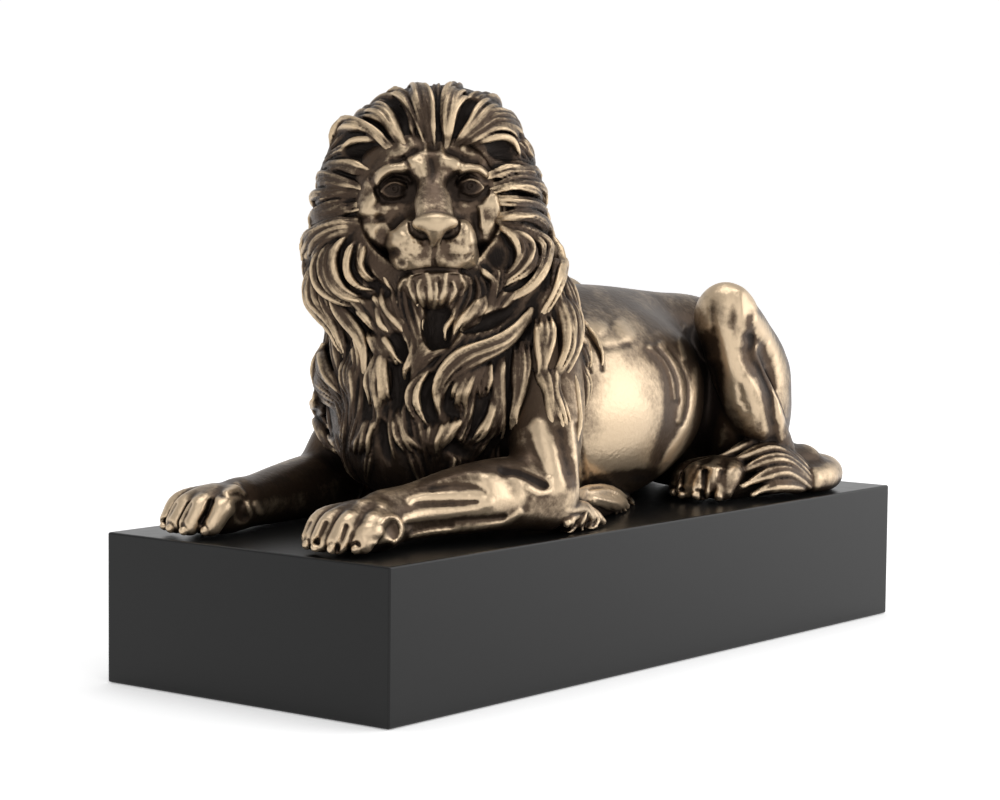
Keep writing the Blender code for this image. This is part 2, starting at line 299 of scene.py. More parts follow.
def addLock(clay, path, outs, width, thick, ridges, groove, k=0.35):
    # One lock of hair: an oval section swept along path, its outer side cut by grooves that
    # leave ridges between them. width and thick are half sizes at each point of the path.
    along = unitVector(np.gradient(path, axis=0))
    side = unitVector(np.cross(along, outs))
    up = np.cross(side, along)
    gone = np.cumsum(np.linalg.norm(np.diff(path, axis=0, prepend=path[:1]), axis=1))
    lines = clay.setdefault("lines", [])
    lines.append(np.hstack([path, along, side, (gone + 50.0 * len(lines))[:, None]]))
    reach = max(width.max(), thick.max()) + 1.5
    found = reachOf(clay, path.min(0) - reach, path.max(0) + reach)
    if found is None:
        return
    part, x, y, z = found
    shape = (x.size, y.size, z.size)
    nearest = np.full(shape, 1e9, np.float32)
    q, across, rise, share = (np.zeros(shape, np.float32) for _ in range(4))
    for i in range(len(path) - 1):
        low = np.minimum(path[i], path[i + 1]) - reach
        high = np.maximum(path[i], path[i + 1]) + reach
        a = [int(np.searchsorted(c.ravel(), low[m])) for m, c in enumerate((x, y, z))]
        b = [int(np.searchsorted(c.ravel(), high[m])) for m, c in enumerate((x, y, z))]
        if min(j - i2 for i2, j in zip(a, b)) <= 0:
            continue
        box = tuple(slice(m, n) for m, n in zip(a, b))
        dx = x[box[0]] - path[i, 0]
        dy = y[:, box[1]] - path[i, 1]
        dz = z[:, :, box[2]] - path[i, 2]
        step = path[i + 1] - path[i]
        t = np.clip((dx * step[0] + dy * step[1] + dz * step[2]) / max(step @ step, 1e-9), 0, 1)
        dx, dy, dz = dx - t * step[0], dy - t * step[1], dz - t * step[2]
        far = dx * dx + dy * dy + dz * dz
        better = far < nearest[box]
        s = dx * side[i, 0] + dy * side[i, 1] + dz * side[i, 2]
        n = dx * up[i, 0] + dy * up[i, 1] + dz * up[i, 2]
        m = dx * along[i, 0] + dy * along[i, 1] + dz * along[i, 2]
        half = width[i] + (width[i + 1] - width[i]) * t
        deep = thick[i] + (thick[i + 1] - thick[i]) * t
        one = np.sqrt((s / half) ** 2 + (n / deep) ** 2 + (m / deep) ** 2)
        two = np.sqrt((s / half**2) ** 2 + (n / deep**2) ** 2 + (m / deep**2) ** 2) + 1e-6
        for store, new in ((nearest, far), (q, one * (one - 1) / two), (across, s / half),
                           (rise, n), (share, half)):
            store[box] = np.where(better, new, store[box])
    place = (across * 0.5 + 0.5) * ridges
    valley = (0.5 + 0.5 * np.cos(2 * np.pi * place)) ** 2
    deepness = groove * valley * np.clip((share / width.max() - 0.3) / 0.4, 0, 1)
    d = np.where(nearest > 1e8, farAway, q + deepness * np.clip(rise + 0.8, 0, 1))
    old = clay["d"][part]
    clay["d"][part] = softMin(old, d.astype(np.float32), k)


def reliefMap(groups, low, high, per=2):
    # the height drawn at each pixel, per times as fine as the photograph
    x = np.arange(low[0] * per, high[0] * per + 1) / per
    y = np.arange(low[1] * per, high[1] * per + 1) / per
    total = np.zeros((len(x), len(y)))
    for strokes in groups:
        for reach, rise, line in strokes:
            line = smoothPath(line, 4)
            i, j = ((line.min(0) - reach - low) * per).astype(int).clip(0)
            m, n = ((line.max(0) + reach - low) * per).astype(int).clip(0) + 2
            dx, dy = x[i:m, None] + 0 * y[None, j:n], y[None, j:n] + 0 * x[i:m, None]
            near = np.full(dx.shape, 1e9)
            for a, b in zip(line[:-1], line[1:]):
                ab = b - a
                t = np.clip(((dx - a[0]) * ab[0] + (dy - a[1]) * ab[1]) / max(ab @ ab, 1e-9), 0, 1)
                near = np.minimum(near, (dx - a[0] - t * ab[0]) ** 2 + (dy - a[1] - t * ab[1]) ** 2)
            total[i:m, j:n] += rise * np.clip(1 - near / reach**2, 0, 1) ** 2
    return total


def pixelsOf(points):
    # where the camera sees points
    place, right, up, back = cameraAxes()
    away = points + [0.0, 0.0, plinthTop] - place
    focal = camera["lens"] / camera["sensor"] * camera["frameWide"]
    deep = -away @ back
    x = camera["frameWide"] / 2 + focal * (away @ right) / deep
    return np.stack([x, camera["frameHigh"] / 2 - focal * (away @ up) / deep], -1)


def drawnAt(groups, points, per=2):
    # the drawn relief at points, as the camera sees them
    lines = [np.array(line, float) for strokes in groups for _, _, line in strokes]
    low, high = np.vstack(lines).min(0).round() - 16, np.vstack(lines).max(0).round() + 16
    drawn = reliefMap(groups, low, high, per)
    g = np.clip((pixelsOf(points) - low) * per, 0, np.array(drawn.shape) - 1.001)
    i = g.astype(int)
    f = g - i
    rise = 0
    for a in (0, 1):
        for b in (0, 1):
            part = (f[:, 0] if a else 1 - f[:, 0]) * (f[:, 1] if b else 1 - f[:, 1])
            rise = rise + part * drawn[i[:, 0] + a, i[:, 1] + b]
    return rise


def drawRelief(clay, groups, facing):
    # raises and sinks the clay's surface by the drawn relief, where it looks to the camera
    cells = np.argwhere(np.abs(clay["d"]) < 3.2)
    points = clay["low"] + clay["cell"] * cells
    rise = drawnAt(groups, points)
    drawn = np.abs(rise) > 0.01
    cells, rise = cells[drawn], rise[drawn] * facing(points[drawn])
    clay["d"][tuple(cells.T)] -= rise.astype(np.float32)


# The mane's mass, under its locks.
maneMassForms = {
    # (centre, radii) on the head's axes
    "on the head": [
        ((1.2, -7, -14), (34, 38, 22)),
        ((-1.0, -24, -8), (36.4, 26, 24)),
        ((9, 10, -12), (20.5, 19.5, 18)),
        ((0, -42, -8), (29.5, 22, 22)),
    ],
    "chest": [
        ((-2, -46, 44), (36.5, 31, 37)),
        ((-1, -57, 27), (25.5, 22, 20)),
        ((0, -40, 14), (24, 20, 15)),
    ],
    "nape": [(0, -44, 92, 24), (0, -29, 71, 21), (0, -12, 53, 18.5)],
    "shoulder": [(22, -34, 66, 16), (30, -34, 48, 13), (36, -40, 34, 9)],
    # the face's place in the mane, on the head's axes
    "opening": ((0, -3, 13), (23, 21.5, 18)),
    # two corners of the room that each grid needs
    "room": ((-56, -100, -2), (58, 28, 144)),
    "head room": ((-52, -100, 36), (56, 4, 143)),
    "chest room": ((-54, -98, -2), (56, 28, 108)),
}


# Locks that the photograph shows. A sheaf is the largest half width of its strands and how proud
# they stand, in millimetres, and guide lines from root to tip in the photograph's pixels: its
# strands are spread between the guides.
headSheaves = {
    "left tuft": (1.5, 2.2, [
        [(423, 126), (416, 106), (411, 94), (406, 86)],
        [(427, 131), (422, 106), (416, 89), (408, 80)],
        [(431, 136), (428, 106), (421, 87), (410, 77)],
        [(434, 138), (433, 110), (429, 93), (420, 80)],
    ]),
    "middle tuft": (1.2, -0.2, [
        [(435, 140), (435, 110), (434, 85)],
        [(442, 139), (442, 112), (440, 86)],
    ]),
    "right tuft": (1.5, 2.3, [
        [(443, 138), (444, 112), (447, 92), (455, 77)],
        [(446, 140), (448, 112), (454, 93), (461, 79)],
        [(449, 138), (453, 113), (459, 98), (469, 86)],
        [(450, 138), (455, 116), (464, 101), (474, 98)],
    ]),
    "left arch": (1.6, 1.2, [
        [(428, 140), (421, 119), (411, 102), (401, 94), (389, 92), (380, 98)],
        [(422, 138), (415, 117), (408, 105), (399, 98), (388, 96), (380, 99)],
    ]),
    "in the left arch": (1.0, 0.2, [[(412, 128), (409, 115), (405, 107), (399, 102)]]),
    "left fan": (1.6, 0.7, [
        [(404, 140), (397, 122), (387, 110), (376, 105), (366, 107)],
        [(400, 140), (390, 121), (377, 113), (366, 111), (358, 115)],
        [(394, 139), (384, 126), (371, 119), (360, 117), (352, 119)],
    ]),
    "left temple": (1.7, 1.1, [
        [(386, 140), (374, 130), (360, 123), (346, 123), (334, 132), (328, 146), (328, 154)],
        [(382, 145), (371, 134), (358, 129), (345, 132), (336, 141), (331, 152)],
    ]),
    "under the left temple": (1.1, 0.8, [[(372, 141), (358, 140), (349, 145), (342, 152), (336, 158)]]),
    "left brow": (1.7, 0.5, [
        [(361, 167), (348, 163), (336, 162), (327, 165), (321, 171)],
        [(354, 173), (342, 170), (331, 171), (323, 175)],
    ]),
    "left one": (1.8, 0.9, [
        [(350, 180), (339, 175), (328, 174), (319, 178), (313, 185)],
        [(352, 187), (338, 184), (325, 185), (314, 191)],
    ]),
    "left two": (1.8, 0.7, [
        [(347, 190), (333, 190), (320, 193), (311, 200), (307, 207)],
        [(348, 198), (336, 201), (323, 206), (312, 212)],
    ]),
    "left three": (1.8, 0.7, [
        [(346, 202), (332, 209), (318, 213), (309, 219), (306, 226)],
        [(350, 213), (336, 220), (322, 222), (311, 226), (306, 232)],
    ]),
    "left four": (1.8, 1.2, [
        [(347, 220), (332, 225), (318, 231), (307, 241), (298, 253)],
        [(350, 227), (336, 232), (322, 239), (309, 250), (298, 260)],
        [(348, 235), (336, 241), (323, 249), (313, 257), (305, 261)],
    ]),
    "left rim": (1.5, 0.2, [[(309, 268), (308, 283), (312, 300), (320, 316), (323, 336)]]),
    "left outer strand": (1.6, 0.9, [
        [(316, 259), (312, 273), (312, 288), (316, 300), (327, 314), (335, 331), (339, 349), (341, 362)],
        [(321, 257), (317, 273), (317, 287), (322, 300), (331, 313), (339, 330), (343, 348), (343, 362)],
    ]),
    "left broad lock": (1.7, 1.4, [
        [(330, 246), (322, 262), (324, 281), (333, 294), (344, 303), (354, 306), (364, 307), (373, 313)],
        [(338, 243), (331, 262), (334, 280), (343, 292), (354, 299), (366, 302), (374, 308)],
        [(347, 239), (340, 252), (339, 268), (343, 281), (350, 290), (360, 297), (372, 301)],
    ]),
    "left inner strand": (1.7, 0.6, [
        [(330, 297), (343, 316), (356, 334), (362, 350), (363, 368), (360, 388)],
        [(337, 299), (349, 315), (361, 333), (367, 350), (367, 368), (364, 386)],
    ]),
    "left thin lock": (1.5, 0.8, [
        [(353, 246), (349, 258), (349, 270), (355, 281), (364, 288), (373, 291), (379, 296)],
    ]),
    "beside the left cheek": (1.3, -0.1, [
        [(358, 246), (357, 260), (361, 273), (370, 283)],
        [(364, 250), (363, 262), (367, 273), (376, 283)],
    ]),
    "chin left": (1.5, 0.5, [
        [(383, 298), (387, 312), (396, 323), (405, 332), (408, 342)],
        [(390, 299), (394, 312), (403, 322), (411, 330), (412, 341)],
    ]),
    "chin left hook": (1.3, 0.5, [[(379, 306), (380, 318), (386, 328), (393, 333), (401, 334)]]),
    "chin left drop": (1.6, 0.4, [[(362, 311), (369, 321), (377, 334)]]),
    "chin left near": (1.1, 0.0, [[(397, 305), (399, 315), (405, 323)]]),
    "chin middle": (1.0, 0.0, [[(418, 310), (421, 321), (422, 332)]]),
    "chin right one": (0.9, 0.2, [[(452, 318), (446, 330), (445, 343)]]),
    "chin right two": (1.4, 0.5, [
        [(472, 304), (464, 318), (457, 330), (452, 339)],
        [(484, 300), (480, 313), (472, 322), (465, 330)],
    ]),
    "chin right ridge": (1.1, 0.2, [[(484, 272), (492, 282), (495, 294), (493, 301)]]),
    "right arch": (1.6, 0.9, [
        [(458, 138), (470, 121), (480, 107), (490, 99), (500, 99)],
        [(462, 138), (474, 122), (485, 111), (496, 107), (506, 110)],
    ]),
    "right fan": (1.6, 0.7, [
        [(462, 140), (475, 127), (488, 114), (500, 112), (511, 115), (518, 121)],
        [(466, 140), (479, 131), (492, 121), (505, 122), (517, 125), (526, 131)],
    ]),
    "right fan low": (1.7, 0.9, [
        [(470, 140), (482, 133), (496, 127), (510, 129), (520, 134), (527, 141)],
        [(474, 141), (487, 134), (500, 132), (511, 135), (519, 144), (524, 152)],
    ]),
    "right arch over the temple": (1.2, 0.9, [
        [(480, 142), (492, 138), (503, 138), (511, 144), (517, 154), (524, 163)],
    ]),
    "right rim high": (1.6, 0.3, [[(522, 145), (526, 152), (531, 158), (534, 167)]]),
    "right one": (1.8, 0.7, [
        [(496, 171), (508, 168), (520, 168), (532, 170), (542, 176), (548, 185)],
        [(498, 176), (512, 173), (526, 174), (537, 181), (544, 189)],
    ]),
    "right two": (1.8, 0.8, [
        [(500, 182), (513, 179), (526, 180), (538, 186), (547, 195), (551, 206)],
        [(502, 191), (516, 188), (529, 191), (539, 199), (548, 210)],
    ]),
    "right three": (1.7, 0.7, [
        [(503, 196), (517, 199), (530, 201), (541, 208), (550, 220), (553, 229)],
        [(508, 205), (521, 207), (534, 209), (545, 218), (552, 230)],
    ]),
    "right four": (1.8, 1.1, [
        [(508, 213), (523, 212), (535, 216), (546, 226), (554, 237), (558, 249)],
        [(505, 220), (519, 220), (531, 223), (542, 232), (550, 244)],
    ]),
    "right outer strand": (1.8, 1.0, [
        [(552, 234), (559, 245), (561, 259), (560, 276), (557, 292), (551, 308), (543, 322)],
        [(548, 238), (554, 249), (556, 263), (554, 280), (549, 296), (542, 311), (536, 322)],
    ]),
    "right big curl": (1.7, 1.5, [
        [(505, 222), (522, 226), (536, 237), (545, 251), (546, 268),
         (541, 283), (528, 294), (512, 301), (487, 302)],
        [(508, 228), (524, 232), (534, 243), (540, 256), (539, 270),
         (531, 283), (518, 292), (505, 296), (494, 297)],
    ]),
    "right small curl": (1.6, 0.7, [
        [(512, 231), (524, 238), (532, 250), (532, 265), (526, 275), (514, 281), (504, 285), (500, 292)],
        [(504, 232), (512, 240), (515, 255), (511, 268), (500, 275)],
    ]),
}

chestSheaves = {
    "big hook": (1.7, 1.6, [
        [(527, 312), (515, 326), (500, 338), (480, 347), (460, 352),
         (446, 363), (436, 378), (433, 395), (437, 410), (443, 421)],
        [(529, 323), (519, 336), (506, 347), (490, 355), (470, 365),
         (455, 376), (445, 390), (442, 404), (447, 416)],
    ]),
    "left hook": (1.6, 1.2, [
        [(432, 366), (419, 378), (411, 392), (411, 408), (417, 421), (430, 432)],
        [(430, 370), (421, 383), (418, 397), (421, 411), (430, 431)],
    ]),
    "small hook": (1.4, 0.5, [[(412, 358), (407, 368), (404, 380)]]),
    "thin hook": (1.0, 0.3, [[(445, 352), (430, 354), (420, 363)]]),
    "under the hook": (1.7, 0.1, [
        [(464, 370), (456, 386), (450, 403)],
        [(473, 366), (464, 384), (460, 401), (462, 418)],
        [(481, 368), (477, 385), (479, 402)],
        [(490, 368), (487, 386), (488, 402)],
    ]),
    "middle strands": (1.7, 0.3, [
        [(495, 366), (494, 388), (494, 408), (488, 424), (479, 437), (470, 446)],
        [(504, 358), (501, 382), (503, 404), (505, 424), (502, 438), (494, 446)],
    ]),
    "middle broad lock": (2.0, 0.7, [
        [(490, 402), (485, 418), (477, 433), (469, 445)],
        [(497, 406), (493, 421), (486, 435), (477, 446)],
    ]),
    "right broad strand": (1.6, 0.8, [
        [(514, 350), (513, 375), (516, 397), (511, 420), (509, 432)],
        [(529, 348), (530, 371), (525, 391), (519, 410), (514, 429)],
    ]),
    "right strands": (1.6, 0.6, [
        [(536, 326), (536, 348), (540, 367), (537, 386)],
        [(551, 322), (551, 347), (547, 368), (540, 386)],
    ]),
    "right long strands": (1.6, 0.5, [
        [(556, 303), (560, 328), (562, 350), (556, 369), (547, 385)],
        [(562, 294), (568, 319), (572, 344), (569, 362), (559, 378)],
    ]),
    "shoulder front": (1.1, -0.6, [
        [(536, 374), (543, 390), (546, 408), (552, 426)],
        [(548, 372), (549, 390), (553, 410), (560, 428)],
        [(560, 372), (560, 394), (567, 414), (576, 434)],
    ]),
    "shoulder back": (1.3, 0.4, [
        [(566, 296), (575, 316), (578, 338), (573, 360), (566, 378)],
        [(562, 300), (567, 322), (569, 344), (565, 362), (559, 378)],
    ]),
    "shoulder strand": (1.0, 0.2, [[(571, 310), (582, 323), (594, 337), (602, 352), (604, 372)]]),
    "shoulder strand low": (0.9, 0.0, [[(573, 328), (582, 341), (589, 354), (593, 372)]]),
    "flank strand": (0.8, -0.6, [[(576, 372), (578, 396), (580, 420), (579, 442), (581, 470)]]),
    "left flames high": (1.6, 0.8, [
        [(313, 362), (318, 382), (326, 399), (338, 413)],
        [(319, 355), (326, 375), (334, 392), (344, 404)],
        [(327, 350), (334, 370), (341, 386), (347, 398)],
    ]),
    "left flames low": (1.6, 0.6, [
        [(312, 392), (315, 408), (321, 424)],
        [(322, 400), (327, 416), (334, 434)],
    ]),
    "left flames foot": (1.5, 0.2, [
        [(317, 424), (322, 438), (331, 450)],
        [(327, 426), (334, 441), (341, 455)],
    ]),
    "left strands": (1.5, 0.5, [
        [(345, 360), (348, 382), (353, 401), (348, 430)],
        [(359, 368), (359, 390), (357, 409), (350, 431)],
    ]),
    "spearhead": (1.5, 1.0, [
        [(377, 358), (372, 381), (372, 400), (368, 418)],
        [(382, 352), (383, 380), (382, 402), (379, 424)],
        [(386, 358), (390, 379), (390, 392), (389, 404)],
    ]),
    "foot left": (1.6, -0.1, [
        [(362, 425), (357, 441), (349, 456)],
        [(376, 424), (372, 443), (366, 460)],
    ]),
    "foot middle": (1.6, -0.1, [
        [(395, 420), (399, 440), (411, 459)],
        [(404, 416), (408, 434), (424, 455)],
    ]),
    "foot right": (1.6, -0.1, [
        [(430, 430), (428, 446), (432, 462)],
        [(458, 424), (450, 438), (441, 450)],
    ]),
    "throat left": (1.5, -0.3, [
        [(371, 340), (378, 352), (392, 366)],
        [(386, 340), (394, 352), (402, 366)],
    ]),
}

# Hollows between the locks: radius in millimetres, and a line over them in the same pixels.
maneHollows = [
    (2.6, [(385, 102), (396, 103), (404, 113), (408, 128)]),
    (2.6, [(473, 104), (463, 113), (458, 127), (455, 137)]),
    (3.6, [(350, 151), (361, 149), (373, 150)]),
    (3.6, [(491, 150), (501, 151), (511, 156)]),
    (1.4, [(356, 120), (370, 124), (384, 134), (391, 140)]),
    (1.5, [(305, 264), (312, 262), (317, 258)]),
    (2.0, [(345, 262), (347, 277), (357, 289), (369, 295)]),
    (2.8, [(358, 260), (364, 276), (376, 287), (386, 292)]),
    (2.4, [(331, 300), (339, 316), (347, 332), (352, 346)]),
    (3.2, [(353, 318), (364, 332), (374, 347), (382, 356)]),
    (5.0, [(440, 312), (437, 330), (440, 345)]),
    (4.0, [(397, 340), (400, 356), (399, 380), (397, 405)]),
    (4.6, [(501, 247), (496, 260)]),
    (2.0, [(485, 262), (489, 272)]),
    (1.9, [(533, 241), (536, 255), (533, 271), (522, 284), (507, 289)]),
    (1.8, [(549, 249), (551, 266), (548, 281), (539, 294), (529, 304)]),
    (2.6, [(536, 298), (532, 312), (526, 326), (517, 341)]),
    (2.2, [(451, 392), (449, 408), (456, 420)]),
    (2.6, [(433, 378), (427, 392), (428, 408), (436, 424)]),
    (2.4, [(465, 330), (490, 322), (508, 313)]),
    (2.6, [(440, 436), (455, 448), (470, 455)]),
    (2.2, [(383, 425), (384, 445), (388, 462)]),
    (1.8, [(533, 350), (533, 370), (532, 392)]),
]

# Rows of locks led over the mass, away from the face and down.
locksLed = {
    # (angle from the face's axis, locks round, length, half width, half thickness, tip lift)
    "round the face": [
        (50.0, 26, 24.0, 2.6, 2.2, 0.2),
        (66.0, 28, 26.0, 2.8, 2.3, 0.5),
        (84.0, 28, 27.0, 3.0, 2.4, 0.6),
        (104.0, 26, 28.0, 3.1, 2.4, 0.5),
        (126.0, 20, 28.0, 3.2, 2.4, 0.4),
        (150.0, 12, 26.0, 3.2, 2.4, 0.4),
    ],
    # (height, locks round, length, half width, half thickness, tip lift)
    "down the neck": [
        (104.0, 28, 30.0, 3.1, 2.4, 0.8),
        (91.0, 30, 30.0, 3.1, 2.4, 0.8),
        (78.0, 32, 30.0, 3.1, 2.4, 1.0),
        (65.0, 34, 29.0, 3.0, 2.4, 1.0),
        (52.0, 34, 26.0, 2.8, 2.3, 1.0),
        (40.0, 28, 22.0, 2.6, 2.1, 0.8),
        (28.0, 20, 18.0, 2.4, 1.9, 0.6),
    ],
    "wave": 0.34,
    "flow from": (0.0, -4.0, 12.0),
    "fall": (0.0, 0.1, -0.35),  # added to the flow: a little back, and down
    "follow": 3.5,  # how far a drawn lock leads those beside it
    "led": 0.9,  # and how much
    "sunk": 1.3,  # how far a lock lies deeper beside drawn ones
    "middle": (0.0, -6.0, -8.0),  # the rows round the face start where rays from here come out
    "lowest": -0.45,  # but not where they point further down than this
    "neck": {"y": -44.0, "height": 64.0, "slope": 0.25},  # axis of the rows down the neck
    "steps": 13,
    "groove": 0.85,
    "seed": 11,
}


def layOn(mass, pixels):
    # where the sight lines meet a mass, or pass closest to it
    start, ways = sightLines(pixels)
    far = np.full(len(ways), 640.0)  # the whole lion is farther from the camera than this
    best = np.full(len(ways), 1e9)
    bestFar = far.copy()
    done = np.zeros(len(ways), bool)
    for _ in range(170):
        d = valueAt(mass, start + ways * far[:, None])
        better = (d < best) & ~done
        best[better], bestFar[better] = d[better], far[better]
        done |= d < 0.15
        far = np.where(done, far, far + np.clip(0.8 * d, 0.5, 5.0))
    return start + ways * bestFar[:, None]


def evened(points, count):
    # the same line with count points at equal steps
    gaps = np.r_[0, np.cumsum(np.linalg.norm(np.diff(points, axis=0), axis=1))]
    want = np.linspace(0, gaps[-1], count)
    return np.stack([np.interp(want, gaps, points[:, k]) for k in range(points.shape[1])], 1)


def smoothRun(values, times=2):
    for _ in range(times):
        middle = (values[:-2] + 2 * values[1:-1] + values[2:]) / 4
        values = np.concatenate([values[:1], middle, values[-1:]])
    return values


strandForm = {
    "steps": 26,
    "pitch": 1.7,  # from one strand of a sheaf to the next
    "run back": 9.0,  # pixels by which every strand starts behind its guide line
    "crown top": 134.4,  # no strand lies above this height
    "side most": 50.6,  # nor further out to the side than this
    "least width": 0.5,
    "least depth": 0.55,
    "groove": 0.55,
    "body": 3.6,  # most half width of the body under the strands
    # how uneven they are, from strand to strand
    "late": 0.05,
    "short": 0.12,
    "sway": (0.6, 1.5),
    "waves": (0.7, 1.1),
    "width": (0.5, 0.62),
    "height": (-0.5, 0.6),
    "lean": (-0.2, 0.2),
}


def longer(guide, more):
    # a guide line that starts so many pixels earlier
    guide = np.array(guide, float)
    return np.vstack([guide[0] - unitVector(guide[1] - guide[0]) * more, guide])


def spread(lines, count):
    # count lines spread between the given ones
    at = np.linspace(0, len(lines) - 1, count) if count > 1 else np.full(1, (len(lines) - 1) / 2)
    low = np.minimum(at.astype(int), max(len(lines) - 2, 0))
    high = np.minimum(low + 1, len(lines) - 1)
    share = (at - low)[:, None, None]
    return lines[low] * (1 - share) + lines[high] * share


def putSheaf(clay, mass, sheaf, rng, ledBy):
    form = strandForm
    count = form["steps"]
    half, lift, guides = sheaf
    lines = np.stack([evened(smoothPath(longer(g, form["run back"]), 5), count) for g in guides])
    laid = layOn(mass, lines.reshape(-1, 2)).reshape(lines.shape[:2] + (3,))
    across = np.linalg.norm(np.diff(laid, axis=0), axis=2).sum(0)
    pitch = min(form["pitch"], 1.1 * half)
    strands = 1 + int(round(np.percentile(across, 75) / pitch)) if len(guides) > 1 else 1
    lines = spread(lines, strands)
    t = np.linspace(0, 1, count)
    for i in range(strands):
        first, last = rng.uniform(0, form["late"]), 1 - rng.uniform(0, form["short"])
        line = evened(smoothPath(lines[i], 2), 60)
        line = evened(line[int(first * 59):int(last * 59) + 1], count)
        ahead = unitVector(np.gradient(line, axis=0))
        most = rng.uniform(*form["sway"])
        sway = most * np.sin(2 * np.pi * (rng.uniform(*form["waves"]) * t + rng.uniform(0, 1)))
        lines[i] = line + ahead[:, ::-1] * [1, -1] * (sway * np.sin(np.pi * t))[:, None]
    paths = layOn(mass, lines.reshape(-1, 2))
    outs = outwards(mass, paths, 1.5)
    paths -= outs * np.maximum(valueAt(mass, paths) - 0.8 - 1.8 * max(lift, 0), 0)[:, None]
    paths[:, 2] = np.minimum(paths[:, 2], form["crown top"])
    paths[:, 0] = np.minimum(paths[:, 0], form["side most"])
    outs = outs.reshape(strands, count, 3)
    paths = paths.reshape(strands, count, 3)
    swell = np.clip(0.3 + 3.2 * t, 0, 1) * np.clip((1 - t) / 0.4, 0.12, 1) ** 0.6
    arch = np.sin(np.pi * np.clip(0.06 + 0.98 * t, 0, 1)) ** 0.7
    gap = np.full((strands, count), 2 * half)
    if strands > 1:
        between = np.linalg.norm(np.diff(paths, axis=0), axis=2)
        gap = np.vstack([between[:1], (between[:-1] + between[1:]) / 2, between[-1:]])
    for i in range(strands):
        path, out = smoothRun(paths[i], 4), unitVector(smoothRun(outs[i], 4))
        side = 0.9 * (2 * (i + 0.5) / strands - 1)
        width = rng.uniform(*form["width"]) * smoothRun(gap[i], 6)
        width = np.maximum(np.clip(width, 0.7, half) * swell, form["least width"])
        thick = np.maximum((0.75 * width + 0.55) * swell, form["least depth"])
        lifted = 0.22 * np.minimum(across, 6.0) * math.sqrt(1 - side * side)
        rise = (lift + rng.uniform(*form["height"]) + lifted) * arch - 0.1
        rise = rise - 1.1 * np.clip(1 - 6 * t, 0, 1)
        path = path + out * (rise + 0.5 * t**2 - 1.3 * np.clip(5 * t - 4, 0, 1) ** 2)[:, None]
        along = unitVector(np.gradient(path, axis=0))
        lean = 0.55 * side + rng.uniform(*form["lean"])
        tipped = unitVector(out * math.cos(lean) + np.cross(along, out) * math.sin(lean))
        ridges = 2 if width.max() > 1.3 else 1
        addLock(clay, path, tipped, width, thick, ridges, form["groove"] * (ridges > 1), k=0.3)
        ledBy.append(np.hstack([path, along])[::2])
    if strands > 1:
        # the body that the strands lie on
        path = smoothRun(paths.mean(0), 4)
        out = unitVector(smoothRun(outs.mean(0), 4))
        path = path + out * ((lift + 0.16 * np.minimum(across, 6.0) - 0.9) * arch - 1.0)[:, None]
        width = np.minimum(0.5 * across + 0.5, form["body"]) * np.clip(swell, 0.3, 1)
        addLock(clay, path, out, width, 0.35 * width + 0.7, 1, 0.0, k=0.3)


def ledRow(clay, mass, place, sizes, rng, ledBy):
    length, half, deep, lift = sizes
    led = locksLed
    steps = led["steps"]
    origin = headAt + headAxes @ np.array(led["flow from"])
    wave = led["wave"] * rng.uniform(0.5, 1.3, len(place))
    phase = rng.uniform(0, 1, len(place))
    paths, outs, covers = [], [], []
    for i in range(steps + 1):
        out = outwards(mass, place, 1.5)
        place = place - out * valueAt(mass, place)[:, None]
        away = unitVector(place - origin) + led["fall"]
        away = unitVector(away - out * (away * out).sum(1, keepdims=True))
        bend = (wave * np.cos(2 * np.pi * (0.8 * i / steps + phase)))[:, None]
        way = away * np.cos(bend) + np.cross(out, away) * np.sin(bend)
        far = ((place[:, None] - ledBy[None, :, :3]) ** 2).sum(-1)
        weight = np.exp(-far / (2 * led["follow"] ** 2))
        cover = np.clip(weight.sum(1) / 1.2, 0, 1)[:, None]
        share = led["led"]
        way = way * (1 - share * cover) + unitVector(weight @ ledBy[:, 3:]) * share * cover
        way = unitVector(way - out * (way * out).sum(1, keepdims=True))
        paths.append(place)
        outs.append(out)
        covers.append(cover[:, 0])
        place = place + way * (length / steps)
    paths, outs, covers = (np.stack(v, 1) for v in (paths, outs, covers))
    t = np.linspace(0, 1, steps + 1)
    swell = np.clip(np.sin(np.pi * (0.14 + 0.83 * t)) ** 0.8, 0.32, 1)
    for path, out, cover in zip(paths, outs, covers):
        rise = -0.4 + 1.0 * np.sin(np.pi * t) + lift * t**2 - led["sunk"] * cover
        path = smoothRun(path + out * rise[:, None], 1)
        along = unitVector(np.gradient(path, axis=0))
        lean = rng.uniform(-0.3, 0.3)
        tipped = unitVector(out * math.cos(lean) + np.cross(along, out) * math.sin(lean))
        ridges = int(rng.integers(2, 4))
        addLock(clay, path, tipped, half * swell, deep * swell, ridges, led["groove"])


def castOn(mass, middle, ways):
    # the outermost place of the mass from middle along each way
    far = np.arange(90.0, 0.0, -0.8)
    points = middle[:, None] + ways[:, None] * far[None, :, None]
    inside = valueAt(mass, points) < 0
    first = inside.argmax(1)
    found = inside.any(1)
    return (middle + ways * far[first][:, None])[found]


def outsideOpening(points):
    at, radii = maneMassForms["opening"]
    away = (points - headAt) @ headAxes - at
    return ((away / radii) ** 2).sum(1) > 1.1


def ringAngles(count, row, rng):
    return 2 * np.pi * (np.arange(count) + 0.5 * (row % 2) + rng.uniform(-0.2, 0.2, count)) / count


def cutHollows(clay, mass):
    for radius, line in maneHollows:
        path = layOn(mass, evened(smoothPath(line, 4), 8))
        path = path + outwards(mass, path, 1.5) * (0.35 * radius)
        radii = radius * np.clip(np.sin(np.pi * np.linspace(0.12, 0.88, 8)) ** 0.5, 0.5, 1)
        limb(clay, np.hstack([path, radii[:, None]]), k=1.0, cut=True, per=1)


